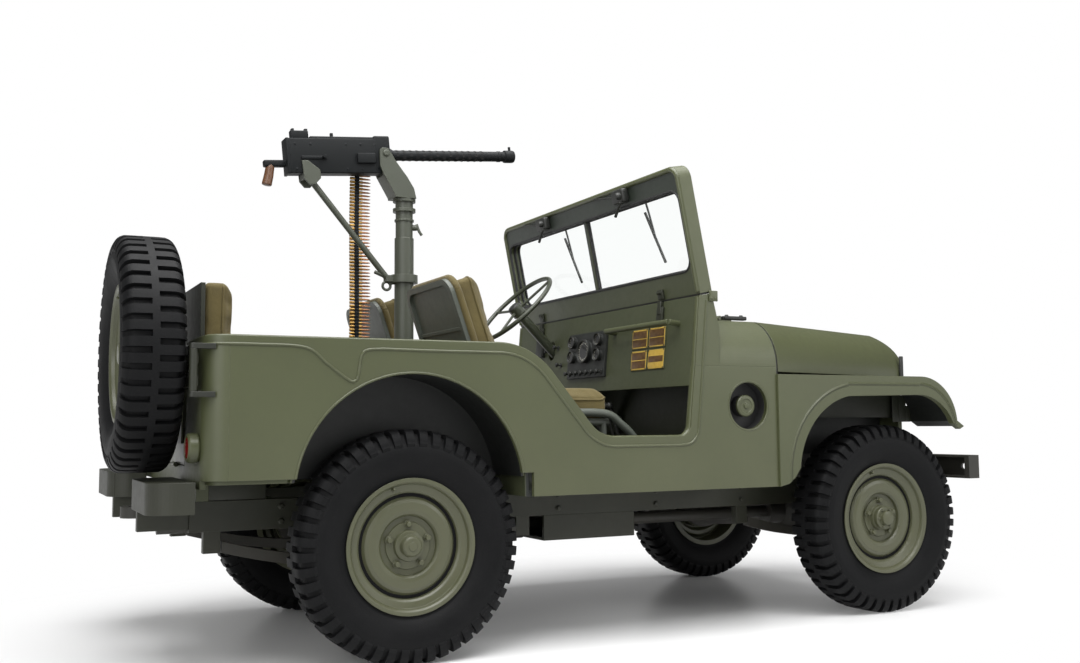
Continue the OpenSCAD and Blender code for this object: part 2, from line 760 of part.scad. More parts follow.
module steering_wheel() {
    color(green) translate(column_top) rotate([0, -45, 0]) {
        rotate_extrude($fn = 96) translate([205, 0]) circle(r = 10, $fn = 24);
        translate([0, 0, -34]) cylinder(r = 32, h = 44);
        for (a = [90, 210, 330]) bar([0, 0, -10], [204 * cos(a), 204 * sin(a), 0], 6);
    }
}

// swinging arm with the post the spare is bolted to
module spare_carrier() {
    color(green) {
        translate([carrier_x, hinge_y, 878.5]) cylinder(r = 12, h = 127);
        for (z = [894, 960]) box([carrier_x - 6, hinge_y, z], [carrier_x + 14, -330, z + 30]);
        box([carrier_x - 6, -440, 894], [carrier_x + 14, -304, 1080]);
        translate([carrier_x + 14, spare_y, spare_z]) rotate([0, -90, 0])
            cylinder(r = 66, h = carrier_x + 14 - spare_x + 8);
    }
}
module at_spare() {
    translate([spare_x, spare_y, spare_z]) rotate([0, 0, 90]) children();
}
module spare_rim() {
    color(green) at_spare() rim_form(false);
}
module spare_tyre() {
    color(dark) at_spare() tyre_form();
}

chassis_rails();
cross_members();
front_bumper();
rear_bumperettes();
tow_pintle();
front_axle();
rear_axle();
leaf_springs();
engine_block();
radiator();
gearbox();
propeller_shafts();
skid_plate();
exhaust();
floor_pan();
wheelhouses();
side_panel_left();
side_panel_right();
side_socket();
rear_panel();
tailgate();
cowl();
dash_fittings();
grille();
lamps();
fender_left();
fender_right();
steering_column();
seat_frame_left();
seat_frame_right();
bench_frame();
seat_cushions();
levers();
gun_pedestal();
gun();
gun_strut();
cartridge_belt();
hood();
windshield_frame();
windshield_glass();
wipers();
knuckle_left();
knuckle_right();
tyre_fl();
rim_fl();
tyre_fr();
rim_fr();
tyre_rl();
rim_rl();
tyre_rr();
rim_rr();
steering_wheel();
spare_carrier();
spare_rim();
spare_tyre();
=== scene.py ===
"""Looks of a light four by four military car, in the order in which the car goes together."""
import bpy
import numpy as np
from mathutils import Matrix


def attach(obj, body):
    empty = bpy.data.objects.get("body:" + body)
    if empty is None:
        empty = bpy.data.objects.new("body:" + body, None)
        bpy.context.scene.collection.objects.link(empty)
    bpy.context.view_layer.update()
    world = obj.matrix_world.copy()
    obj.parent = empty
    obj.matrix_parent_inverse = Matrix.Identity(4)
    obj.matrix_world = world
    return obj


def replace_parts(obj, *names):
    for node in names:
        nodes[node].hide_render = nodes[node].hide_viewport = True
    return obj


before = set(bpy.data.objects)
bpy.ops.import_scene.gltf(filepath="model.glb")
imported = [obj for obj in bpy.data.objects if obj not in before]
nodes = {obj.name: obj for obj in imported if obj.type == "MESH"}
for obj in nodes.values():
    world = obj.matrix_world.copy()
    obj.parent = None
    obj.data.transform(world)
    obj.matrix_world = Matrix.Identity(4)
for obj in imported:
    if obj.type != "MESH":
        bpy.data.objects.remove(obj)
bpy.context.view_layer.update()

# Chassis. Pressed steel rails, cross members, axles and springs, brushed with a dark
# satin paint and riveted or bolted together; road dust lies thicker lower down.


def join(node, key, value):
    """Feeds one input of a node a socket or a plain value."""
    if isinstance(value, bpy.types.NodeSocket):
        node.id_data.links.new(value, node.inputs[key])
    else:
        node.inputs[key].default_value = value


def add(tree, kind, links=None, **settings):
    """One shader node: settings are its own properties, links feed its inputs."""
    n = tree.nodes.new("ShaderNode" + kind)
    for k, v in settings.items():
        setattr(n, k, v)
    for k, v in (links or {}).items():
        join(n, k, v)
    return n


def group(name, inputs, outputs):
    """An empty shader group: its tree, its input sockets and its output sockets by name."""
    g = bpy.data.node_groups.new(name, "ShaderNodeTree")
    for n, (kind, value) in inputs.items():
        g.interface.new_socket(n, in_out="INPUT", socket_type="NodeSocket" + kind).default_value = value
    for n, kind in outputs.items():
        g.interface.new_socket(n, in_out="OUTPUT", socket_type="NodeSocket" + kind)
    return g, g.nodes.new("NodeGroupInput").outputs, g.nodes.new("NodeGroupOutput").inputs


def ramp(tree, value, low, high, to_low=0.0, to_high=1.0):
    """A value mapped straight from one range to another and clamped."""
    return add(tree, "MapRange", {"Value": value, "From Min": low, "From Max": high,
                                  "To Min": to_low, "To Max": to_high}).outputs["Result"]


def mixed(tree, factor, a, b, blend="MIX"):
    """Two colours mixed by a factor."""
    n = add(tree, "Mix", {"Factor": factor}, data_type="RGBA", blend_type=blend)
    join(n, 6, a)
    join(n, 7, b)
    return n.outputs[2]


def math_node(tree, operation, a, b):
    """One arithmetic step between two values."""
    return add(tree, "Math", {0: a, 1: b}, operation=operation).outputs[0]


def times(tree, *values):
    """The product of some values."""
    product = values[0]
    for v in values[1:]:
        product = math_node(tree, "MULTIPLY", product, v)
    return product


def noise(tree, scale, detail, rough=0.5, distortion=0.0):
    """Cloudy noise over the object's own place."""
    at = add(tree, "TexCoord").outputs["Object"]
    return add(tree, "TexNoise", {"Vector": at, "Scale": scale, "Detail": detail, "Roughness": rough,
                                  "Distortion": distortion}).outputs["Fac"]


def place_of(tree):
    """X, Y and Z of the object's own place."""
    return add(tree, "SeparateXYZ", {"Vector": add(tree, "TexCoord").outputs["Object"]}).outputs


def bump(tree, height, distance, **more):
    """A normal tipped by a height that stands for a distance."""
    return add(tree, "Bump", {"Height": height, "Distance": distance, **more}).outputs["Normal"]


def feed(shader, **inputs):
    """Feeds a shader's inputs, whose names are written with underscores for spaces."""
    for k, v in inputs.items():
        join(shader, k.replace("_", " "), v)


# the worn paint: cloudy tone, fine orange peel, chipped edges found by a rounded normal, low dust
paint_wear, gi, go = group("paint_wear", {
    "Paint": ("Color", (0.2, 0.2, 0.2, 1)), "Worn": ("Color", (0.3, 0.3, 0.3, 1)),
    "Gloss": ("Float", 0.45), "Dust": ("Float", 0.2), "Wear": ("Float", 0.5)},
    {"Color": "Color", "Roughness": "Float", "Height": "Float", "Normal": "Vector"})
t = paint_wear
cloud = noise(t, 2.6, 5.0, 0.6)
speck = noise(t, 34.0, 4.0, 0.7)
peel = noise(t, 420.0, 1.0)
soft = add(t, "Bevel", {"Radius": 0.004}, samples=4).outputs["Normal"]
flat = add(t, "NewGeometry").outputs["Normal"]
turn = add(t, "VectorMath", {0: soft, 1: flat}, operation="DOT_PRODUCT").outputs["Value"]
edge = times(t, ramp(t, turn, 0.97, 0.8), ramp(t, speck, 0.42, 0.62), gi["Wear"])
low = times(t, ramp(t, place_of(t)["Z"], 0.85, 0.15), ramp(t, cloud, 0.3, 0.75, 0.35, 1.0), gi["Dust"])
tone = mixed(t, ramp(t, cloud, 0.3, 0.7, 0.0, 0.13), gi["Paint"], (1, 1, 1, 1), "SOFT_LIGHT")
tone = mixed(t, ramp(t, speck, 0.35, 0.7, 0.0, 0.05), tone, (0.02, 0.02, 0.015, 1))
tone = mixed(t, low, tone, (0.3, 0.26, 0.2, 1))
tone = mixed(t, edge, tone, gi["Worn"])
rough = math_node(t, "ADD", gi["Gloss"], ramp(t, speck, 0.3, 0.7, -0.04, 0.06))
rough = math_node(t, "ADD", rough, times(t, low, 0.5))
grain = math_node(t, "ADD", times(t, peel, 0.25), times(t, speck, 0.2))
for output, value in (("Color", tone), ("Roughness", rough), ("Height", grain), ("Normal", soft)):
    t.links.new(value, go[output])


def material(name):
    """A fresh material: itself, its tree and its main shader."""
    m = bpy.data.materials.new(name)
    m.use_nodes = True
    return m, m.node_tree, m.node_tree.nodes["Principled BSDF"]


def painted(name, paint, worn, gloss, dust=0.2, wear=0.5, relief=0.0006, metallic=0.0):
    """A painted metal finish made with the worn paint group."""
    m, t, b = material(name)
    g = t.nodes.new("ShaderNodeGroup")
    g.node_tree = paint_wear
    feed(g, Paint=(*paint, 1), Worn=(*worn, 1), Gloss=gloss, Dust=dust, Wear=wear)
    tipped = bump(t, g.outputs["Height"], relief, Strength=0.6, Normal=g.outputs["Normal"])
    feed(b, Base_Color=g.outputs["Color"], Roughness=g.outputs["Roughness"], Normal=tipped, Metallic=metallic)
    return m


def dress(names, finish):
    """Gives the CAD nodes their finish."""
    for n in names:
        nodes[n].data.materials.clear()
        nodes[n].data.materials.append(finish)


dark_paint = painted("dark_chassis_paint", (0.012, 0.013, 0.011), (0.06, 0.055, 0.045), 0.5, dust=0.16)
dress(["front_bumper", "front_axle", "rear_axle", "leaf_springs", "propeller_shafts", "exhaust",
       "knuckle_left", "knuckle_right", "tow_pintle", "radiator"], dark_paint)
frame_paint = painted("dark_olive_frame_paint", (0.0125, 0.0145, 0.007), (0.05, 0.05, 0.03), 0.52, dust=0.06)
dress(["chassis_rails", "cross_members", "skid_plate", "rear_bumperettes"], frame_paint)
castings = painted("grey_castings", (0.045, 0.046, 0.04), (0.12, 0.115, 0.1), 0.6, dust=0.3, relief=0.002)
dress(["engine_block", "gearbox"], castings)


def joined(name, shapes, finish, body="body", smooth=True, angle=0.6):
    """One mesh object from several (points, faces) shapes, shaded smooth up to an edge angle."""
    points, faces, start = [], [], 0
    for v, f in shapes:
        points.append(v)
        faces += [tuple(int(i) + start for i in face) for face in f]
        start += len(v)
    mesh = bpy.data.meshes.new(name)
    mesh.from_pydata(np.concatenate(points).tolist(), [], faces)
    mesh.validate()
    if smooth:
        mesh.shade_smooth()
        mesh.set_sharp_from_angle(angle=angle)
    mesh.materials.append(finish)
    piece = bpy.data.objects.new(name, mesh)
    bpy.context.scene.collection.objects.link(piece)
    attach(piece, body)
    return piece


def grid_faces(rows, cols, round_rows, round_cols):
    """Quads over a grid of points, row after row, closed on itself where said."""
    r = np.arange(rows if round_rows else rows - 1)[:, None]
    c = np.arange(cols if round_cols else cols - 1)[None, :]
    r2, c2 = (r + 1) % rows, (c + 1) % cols
    return np.stack([r * cols + c, r * cols + c2, r2 * cols + c2, r2 * cols + c], -1).reshape(-1, 4)


def axes_along(way):
    """Two directions square to a way, and the way itself, as the rows of a matrix."""
    d = np.asarray(way, float) / np.linalg.norm(way)
    side = np.cross(d, (0, 0, 1) if abs(d[2]) < 0.9 else (1, 0, 0))
    side /= np.linalg.norm(side)
    return np.stack([side, np.cross(d, side), d])


def turned(profile, at, way, count=32, ring=False):
    """(radius, distance) pairs in millimetres turned about an axis: r times a circle, plus the distance.

    The ends are flat, or the section is a ring closed on itself.
    """
    p = np.asarray(profile, float) * 0.001
    a = np.arange(count) * 2 * np.pi / count
    frame_of = axes_along(way)
    circle = np.stack([np.cos(a), np.sin(a)], -1) @ frame_of[:2]
    v = np.asarray(at, float) + p[:, 0, None, None] * circle[None] + p[:, 1, None, None] * frame_of[2]
    f = [tuple(q) for q in grid_faces(len(p), count, ring, True)]
    if not ring:
        f += [tuple(range(count))[::-1], tuple(range((len(p) - 1) * count, len(p) * count))]
    return v.reshape(-1, 3), f


def hexes(at, ways, radius, tall):
    """Six-sided bolt heads with a washer: a profile in radii and heights, turned with six sides."""
    steps = np.array([(0.01, 0), (1.35, 0), (1.35, 0.25), (1, 0.25), (1, 0.85), (0.82, 1), (0.01, 1)])
    return [turned(steps * (radius, tall), p, w, 6) for p, w in zip(at, np.broadcast_to(ways, np.shape(at)))]


def block(at, half, r, axes=None, steps=3):
    """A box with round edges: r times a ball of directions, pushed out to the corners by their signs."""
    q = np.linspace(0, np.pi / 2, steps + 1)
    u = np.concatenate([q + k * np.pi / 2 for k in range(4)])
    su = np.repeat([[1, 1], [-1, 1], [-1, -1], [1, -1]], steps + 1, 0)
    w = np.concatenate([q - np.pi / 2, q])
    sw = np.repeat([-1, 1], steps + 1)
    h = np.asarray(half, float) - r
    x = h[0] * su[:, 0] + r * np.cos(w)[:, None] * np.cos(u)
    y = h[1] * su[:, 1] + r * np.cos(w)[:, None] * np.sin(u)
    z = np.broadcast_to((h[2] * sw + r * np.sin(w))[:, None], x.shape)
    v = np.stack([x, y, z], -1)
    n = len(u)
    f = [tuple(k) for k in grid_faces(len(w), n, False, True)]
    f += [tuple(range(n))[::-1], tuple(range((len(w) - 1) * n, len(w) * n))]
    v = v.reshape(-1, 3) @ (np.eye(3) if axes is None else np.asarray(axes, float))
    return v + np.asarray(at, float), f


def swept(path, radius, count=12, closed=False):
    """A round bar along a path: circles square to the path's own direction, carried without twist."""
    p = np.asarray(path, float)
    d = np.roll(p, -1, 0) - np.roll(p, 1, 0) if closed else np.gradient(p, axis=0)
    d /= np.linalg.norm(d, axis=1)[:, None]
    up = np.array([0.137, 0.241, 0.96])
    side = np.cross(d, up)
    side /= np.linalg.norm(side, axis=1)[:, None]
    lift = np.cross(d, side)
    a = np.arange(count) * 2 * np.pi / count
    r = np.broadcast_to(np.asarray(radius, float), (len(p),))[:, None, None]
    v = p[:, None] + r * (np.cos(a)[:, None] * side[:, None] + np.sin(a)[:, None] * lift[:, None])
    f = [tuple(k) for k in grid_faces(len(p), count, closed, True)]
    if not closed:
        f += [tuple(range(count))[::-1], tuple(range((len(p) - 1) * count, len(p) * count))]
    return v.reshape(-1, 3), f


def smooth_path(points, count=40):
    """A curve through points: cubics whose end slopes are half the span of the neighbours."""
    p = np.asarray(points, float)
    p = np.concatenate([[2 * p[0] - p[1]], p, [2 * p[-1] - p[-2]]])
    s = np.linspace(0, len(p) - 3 - 1e-9, count)
    i = s.astype(int)
    x = (s - i)[:, None]
    a, b, c, d = p[i], p[i + 1], p[i + 2], p[i + 3]
    return 0.5 * (2 * b + (c - a) * x + (2 * a - 5 * b + 4 * c - d) * x**2 + (3 * b - a - 3 * c + d) * x**3)


both_sides = np.array([1.0, -1.0])


def paired(at, half, r):
    """The same round-edged box on both sides of the car."""
    return [block(np.multiply(at, (1, s, 1)), half, r) for s in both_sides]


rail_bolts = np.array([(x, s * 0.3652, z) for x in (-1.2, -0.72, -0.14, 0.3, 0.72, 1.03, 1.4)
                       for s in both_sides for z in (0.455, 0.505)])
joined("frame_bolts", hexes(rail_bolts, rail_bolts * (0, 1, 0), 9, 9), frame_paint)
joined("rail_risers", paired((-1.36, 0.34, 0.5645), (0.11, 0.0245, 0.034), 0.004), frame_paint)

# Tyres. Cross-ply military tyres of black rubber, moulded with a narrow middle rib and
# blocky bars that run out over the shoulder, staggered from one side to the other.
lug_count = 48
tyre_r, tread_depth = 0.38, 0.014
rear_x, front_x, wheel_y = -0.852, 1.205, 0.6255
spare_at = np.array([-1.666, -0.372, 1.009])


def tyre_surface():
    """Tyre about Y: a smooth section swept round, raised by bars where a pitch's fraction and side say so."""
    section = np.array([(0.214, 0.056), (0.222, 0.0625), (0.233, 0.066), (0.26, 0.083), (0.29, 0.0915),
                        (0.315, 0.0918), (0.326, 0.089), (0.338, 0.0825), (0.35, 0.076), (0.36, 0.069),
                        (0.3655, 0.06), (0.366, 0.04), (0.366, 0.02), (0.366, 0.0125), (0.366, 0.0105),
                        (0.366, 0.004)])
    half = np.concatenate([smooth_path(section[:11], 34), section[11:]])
    prof = np.concatenate([half, half[::-1] * (1, -1)])
    ds = np.gradient(prof, axis=0)
    ds /= np.linalg.norm(ds, axis=1)[:, None]
    out = np.stack([ds[:, 1] * -1, ds[:, 0]], -1)
    out *= np.sign((out * (prof - (0.3, 0))).sum(1))[:, None]
    marks = np.array([0.0, 0.035, 0.2, 0.37, 0.405, 0.5, 0.535, 0.7, 0.87, 0.905])
    angle = ((np.arange(lug_count)[:, None] + marks) * 2 * np.pi / lug_count).ravel()
    groove = np.interp(marks, [0, 0.035, 0.37, 0.405, 1], [1, 0, 0, 1, 1])
    other = np.interp((marks - 0.5) % 1, [0, 0.035, 0.37, 0.405, 1], [1, 0, 0, 1, 1])
    bar = np.where(prof[:, 1, None] > 0, np.tile(groove, lug_count), np.tile(other, lug_count))
    rib = (np.abs(prof[:, 1]) < 0.0115)[:, None]
    zone = np.interp(prof[:, 0], [0.3235, 0.329, 0.342, 0.36], [0.0, 0.45, 0.85, 1.0])[:, None]
    lift = tread_depth * zone * np.where(rib, 1.0, bar)
    lift = np.minimum(lift, (tyre_r - prof[:, :1]) / np.maximum(out[:, :1], 0.02))
    rings = sum(np.exp(-((prof[:, 0] - r) / 0.0022) ** 2) for r in (0.244, 0.305, 0.329))[:, None]
    p = prof[:, None, :] + out[:, None, :] * (lift + 0.0016 * rings)[:, :, None]
    r, y = p[..., 0], np.clip(p[..., 1], -0.0938, 0.0938)
    v = np.stack([r * np.cos(angle), y, r * np.sin(angle)], -1)
    return v.reshape(-1, 3), grid_faces(len(prof), len(angle), True, True)


def placed(shape, at, turn=0.0):
    """A shape turned about Z and set at a place."""
    c, s = np.cos(turn), np.sin(turn)
    v, f = shape
    return v @ np.array([[c, s, 0], [-s, c, 0], [0, 0, 1.0]]) + np.asarray(at, float), f


rubber, t, b = material("tyre_rubber")
grit = noise(t, 220.0, 3.0, 0.7)
smear = noise(t, 9.0, 5.0, 0.65)
tone = mixed(t, ramp(t, smear, 0.35, 0.75, 0.0, 0.55), (0.0034, 0.0036, 0.004, 1), (0.0085, 0.0085, 0.009, 1))
tone = mixed(t, ramp(t, grit, 0.55, 0.75, 0.0, 0.16), tone, (0.035, 0.033, 0.03, 1))
feed(b, Base_Color=tone, Roughness=ramp(t, smear, 0.3, 0.7, 0.52, 0.68), Specular_IOR_Level=0.14,
     Normal=bump(t, grit, 0.0008, Strength=0.5))

wheel_places = {"fl": ((front_x, wheel_y, tyre_r), 0.0, "wheel_front_left"),
                "fr": ((front_x, -wheel_y, tyre_r), np.pi, "wheel_front_right"),
                "rl": ((rear_x, wheel_y, tyre_r), 0.0, "wheel_rear_left"),
                "rr": ((rear_x, -wheel_y, tyre_r), np.pi, "wheel_rear_right")}
tyre_shape = tyre_surface()
for key, (place, angle_of, body) in wheel_places.items():
    tyre = joined("tread_tyre_" + key, [placed(tyre_shape, place, angle_of)], rubber, body)
    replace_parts(tyre, "tyre_" + key)
tyre = joined("tread_tyre_spare", [placed(tyre_shape, spare_at, np.pi / 2)], rubber, "spare_carrier")
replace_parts(tyre, "spare_tyre")

# Wheels. Pressed steel rims and discs in the body's olive satin paint, held by five nuts,
# with a drive flange and bolts at the front hubs and a stepped cap at the rear ones.
olive = (0.057, 0.064, 0.029)
olive_worn = (0.13, 0.135, 0.08)
wheel_paint = painted("olive_wheel_paint", (0.064, 0.068, 0.036), (0.13, 0.13, 0.08), 0.33, dust=0.05)
dress(["rim_fl", "rim_fr", "rim_rl", "rim_rr", "spare_rim"], wheel_paint)
out_way = (0, 1, 0)


def ring_of(at, radius, count, plane, start=0.0):
    """Points evenly round a circle about a place: radius times cosine and sine along the plane's two axes."""
    a = start + np.arange(count) * 2 * np.pi / count
    v = np.tile(np.asarray(at, float), (count, 1))
    v[:, "xyz".index(plane[0])] += radius * np.cos(a)
    v[:, "xyz".index(plane[1])] += radius * np.sin(a)
    return v


nuts = hexes(ring_of((0, 0.028, 0), 0.0699, 5, "xz", 0.3), out_way, 10.5, 17)
flange = [turned([(1, 44), (47, 44), (47, 62), (43, 66), (30, 66), (28, 80), (20, 84), (1, 84)],
                 (0, 0, 0), out_way, 28)]
flange += hexes(ring_of((0, 0.0655, 0), 0.037, 6, "xz"), out_way, 5.2, 7)
cap = [turned([(1, 46), (35, 46), (33.5, 70), (28, 76), (16, 77), (14, 80), (1, 80)],
              (0, 0, 0), out_way, 28)]
valve = [swept(smooth_path([(0.06, 0.046, 0.18), (0.061, 0.056, 0.184), (0.06, 0.067, 0.187)], 8), 0.0045, 8)]
# painted shadow: a black ring fills the gap between each disc and its rim, where shade falls
gap_shadow = turned([(159.5, 15), (169, 17), (172.2, 30), (159.8, 30)], (0, 0, 0), out_way, 64, True)
for key, (place, angle_of, body) in wheel_places.items():
    hub = flange if key in ("fl", "fr") else cap
    joined("disc_gap_shadow_" + key, [placed(gap_shadow, place, angle_of)], rubber, body)
    fittings = [placed(k, place, angle_of) for k in nuts + hub + valve]
    joined("wheel_fittings_" + key, fittings, wheel_paint, body)
fittings = [placed(k, spare_at, np.pi / 2) for k in nuts + valve]
joined("wheel_fittings_spare", fittings, wheel_paint, "spare_carrier")

# Tub. Thin steel sheet, pressed with a raised bead along the rail and round the door
# opening, spot welded and sprayed olive; the free edges are rolled over a wire.
body_paint = painted("olive_body_paint", olive, olive_worn, 0.35, dust=0.1)
dress(["side_panel_left", "side_panel_right", "tailgate", "grille", "hood"], body_paint)
# the spare carrier's dark frame paint is partly painted shade, cast by the spare tyre that hangs on it
dress(["bench_frame", "spare_carrier"], frame_paint)


def lined_and_shaded(name, mask_of, dark_tone):
    """The body's paint with a dark tone where a mask made from the place says so: a real dark coat on some
    parts, painted shade on others.
    """
    m = painted(name, olive, olive_worn, 0.45, dust=0.0)
    t, b = m.node_tree, m.node_tree.nodes["Principled BSDF"]
    place = place_of(t)
    fleck = noise(t, 90.0, 4.0)
    dark = mixed(t, fleck, dark_tone, tuple(2.2 * k for k in dark_tone[:3]) + (1,))
    feed(b, Base_Color=mixed(t, mask_of(t, place), b.inputs["Base Color"].links[0].from_socket, dark))
    return m


def length(tree, vector):
    """The length of a vector."""
    return add(tree, "VectorMath", {0: vector}, operation="LENGTH").outputs["Value"]


def apart(tree, a, b=0.0):
    """How far two values are apart: the size of their difference."""
    return math_node(tree, "ABSOLUTE", math_node(tree, "SUBTRACT", a, b), 0.0)


def from_axis(tree, place, x, z):
    """The distance from an axis along Y: the length of the offsets in X and Z."""
    return length(tree, add(tree, "CombineXYZ", {"X": math_node(tree, "SUBTRACT", place["X"], x),
                                                 "Y": math_node(tree, "SUBTRACT", place["Z"], z)}).outputs[0])


arch_x, arch_z = -0.867, 0.55


def inside_arch(t, place):
    """One where the distance from the rear wheel arch's axis is under its outer radius."""
    return ramp(t, from_axis(t, place, arch_x, arch_z), 0.399, 0.396)


dress(["wheelhouses"], lined_and_shaded("undercoated_steel", inside_arch, (0.0045, 0.005, 0.0045, 1)))


def fender_underside_shade(t, place):
    """Painted shade: one on the faces inside a front fender's outer skin that look level or down, and not
    ahead.
    """
    looks = add(t, "SeparateXYZ", {"Vector": add(t, "NewGeometry").outputs["True Normal"]}).outputs
    inner = ramp(t, apart(t, place["Y"]), 0.7438, 0.7432)
    return times(t, inner, ramp(t, looks["Z"], 0.1, 0.05), ramp(t, looks["X"], 0.4, 0.35))


def rear_face_shade(t, place):
    """Painted shade: one on the faces between the body sides that look to the rear in the piece's own frame,
    stronger higher up towards the top rail.
    """
    own = add(t, "VectorTransform", {"Vector": add(t, "NewGeometry").outputs["True Normal"]},
              vector_type="NORMAL", convert_from="WORLD", convert_to="OBJECT").outputs[0]
    to_rear = ramp(t, add(t, "SeparateXYZ", {"Vector": own}).outputs["X"], -0.75, -0.85)
    between = ramp(t, apart(t, place["Y"]), 0.744, 0.738)
    return times(t, to_rear, between, ramp(t, place["Z"], 1.3, 1.66, 0.32, 0.95))


def hinge_leaf_shadow(t, place):
    """Painted shadow: one behind the tub's rear right corner, on the leaves of the spare carrier's hinge, where
    the spare tyre shades them.
    """
    leaf = apart(t, apart(t, place["Z"], 0.942), 0.072)
    corner = times(t, ramp(t, place["X"], -1.496, -1.498), ramp(t, place["Y"], -0.731, -0.733))
    return times(t, corner, ramp(t, leaf, 0.0086, 0.0082))


# painted shade: the fenders' inner and lower faces are darkened where they look away from the light
dress(["fender_left", "fender_right"], lined_and_shaded("fender_with_painted_underside_shade", fender_underside_shade, (0.009, 0.01, 0.009, 1)))
# painted shade on the rear faces of the cowl and the windshield frame, darkest near the top rail
dress(["cowl", "windshield_frame"], lined_and_shaded("shaded_cabin_side", rear_face_shade, (0.01, 0.0135, 0.0105, 1)))
# painted shadow of the spare tyre on the hinge leaves at the rear right corner
dress(["rear_panel"], lined_and_shaded("panel_with_painted_hinge_shadow", hinge_leaf_shadow, (0.008, 0.009, 0.006, 1)))
# painted shade: the floor ahead of the front seat backs is darkened, where the dash and seats shade it
dress(["floor_pan"], lined_and_shaded("floor_with_painted_footwell_shade", lambda t, place: ramp(t, place["X"], -0.47, -0.46),
                           (0.008, 0.009, 0.008, 1)))


def arc_points(cx, cz, r, start, end, count=14):
    """Points of an arc in X and Z about a centre, between two angles in degrees."""
    a = np.radians(np.linspace(start, end, count))
    return np.stack([cx + r * np.cos(a), cz + r * np.sin(a)], -1)


rail_top, corner_x, corner_y = 1.048, -1.457, 0.69


def tub_edge(w):
    """The tub's free edge in X and Z, along the rail and the sill and up the door's front, set in by w."""
    return np.concatenate([[(x, rail_top - w) for x in (corner_x, -1.3, -1.0, -0.8)],
                           arc_points(-0.565, 0.789, 0.259 - w, 90, 40, 22),
                           arc_points(-0.115, 0.858, 0.131 + w, 220, 270, 16), [(0.02, 0.727 - w)],
                           arc_points(0.16, 0.772, 0.045 + w, -90, 0, 8),
                           [(0.2288 + w, 0.985), (0.2525 + w, 1.24)]])


def on_side(xz, y):
    """Points in X and Z stood up at a Y."""
    return np.stack([xz[:, 0], np.full(len(xz), y), xz[:, 1]], -1)


def at_x(yz, x):
    """Points in Y and Z stood up at an X."""
    return np.stack([np.full(len(yz), x), yz[:, 0], yz[:, 1]], -1)


def wrapped(xz, out, rear_y, side):
    """A line on the side carried round the rear corner: a quarter circle about its axis, then on to rear_y."""
    q = np.radians(np.linspace(90, 0, 12))
    round_it = np.stack([corner_x - out * np.sin(q), corner_y + out * np.cos(q), np.full(12, xz[0, 1])], -1)
    start = np.array([[corner_x - out, rear_y, xz[0, 1]]])
    return np.concatenate([start, round_it, on_side(xz[1:], corner_y + out)]) * (1, side, 1)


bead_start = np.array([(corner_x, 1.022), (-1.38, 1.022), (-1.228, 1.016), (-1.16, 0.968), (-1.092, 0.918),
                       (-1.068, 0.914), (-1.058, 0.934), (-1.049, 0.99), (-1.03, 1.012), (-0.98, 1.017)])
bead_front = np.array([(0.16, 0.694), (0.205, 0.702), (0.234, 0.735), (0.2425, 0.79), (0.262, 0.985),
                       (0.2845, 1.23)])
bead = np.concatenate([smooth_path(bead_start, 50), tub_edge(0.033)[3:42], smooth_path(bead_front, 30)])
pressings = []
for s in both_sides:
    pressings += [swept(on_side(arc_points(arch_x, arch_z, 0.3925, 9, 171, 64), s * 0.759), 0.0045, 8),
                  swept(wrapped(bead, 0.0692, 0.6, s), 0.0052, 8),
                  swept(wrapped(tub_edge(0.01), 0.053, 0.425, s), 0.0145, 12)]
joined("tub_pressings", pressings, body_paint)
latch = []
for s in both_sides:
    latch += [block((-1.5335, s * 0.445, 1.0), (0.007, 0.02, 0.035), 0.004),
              swept([(-1.542, s * 0.445, 1.03), (-1.545, s * 0.445, 0.98)], 0.006, 8)]
    k = np.linspace(0, 1, 17)
    hang = np.stack([s * (0.45 + 0.16 * k), 1.02 - 0.085 * np.sin(np.pi * k) - 0.01 * k], -1)
    for i, p in enumerate(at_x(hang, -1.547)):
        oval = ring_of((0, 0, 0), 0.005, 12, "yx" if i % 2 else "yz") * (1, 1.7, 1)
        latch.append(swept(p + oval, 0.0018, 6, True))
    latch.append(block((-1.538, s * 0.62, 1.0), (0.011, 0.012, 0.012), 0.004))
joined("tailgate_latches", latch, dark_paint)

# Cowl. The pressed steel scuttle behind the hood, welded to the tub, with a black rubber strip
# along its seam and, on the right, a round socket with a cap for a snorkel pipe.


def flecked(name, grain, tones, shine, relief, spread=(0.0, 1.0)):
    """A finish whose tone, roughness and height all follow one noise."""
    m, t, b = material(name)
    fleck = noise(t, *grain)
    tone = mixed(t, ramp(t, fleck, *spread), *tones)
    feed(b, Base_Color=tone, Roughness=ramp(t, fleck, 0.3, 0.7, *shine), Normal=bump(t, fleck, relief))
    return m


seal_black = flecked("black_rubber_strip", (300.0, 2.0), ((0.008, 0.008, 0.009, 1), (0.022, 0.022, 0.022, 1)),
                     (0.5, 0.7), 0.0005)


def section_of(hw, zb, zs, r, zt, count=26):
    """A scuttle section as (y, z): the upright side, the round shoulder and a flat crown, then mirrored."""
    shoulder = arc_points(hw - r, zs, r, 0, 72, count)
    k = np.linspace(1, 0, 20)[1:, None]
    end_y, end_z = shoulder[-1]
    crown = np.concatenate([end_y * k, zt - (zt - end_z) * k**2], -1)
    side = np.stack([np.full(6, hw), np.linspace(zb, zs, 7)[:-1]], -1)
    half = np.concatenate([side, shoulder, crown])
    return np.concatenate([half, half[-2::-1] * (-1, 1)])


seam = section_of(0.7595, 0.955, 0.985, 0.195, 1.2035)
seam -= 0.004 * np.stack([np.sign(seam[:, 0]), np.ones(len(seam))], -1)
joined("cowl_seam_strip", [swept(at_x(seam, 0.608), 0.0038, 8)], seal_black)
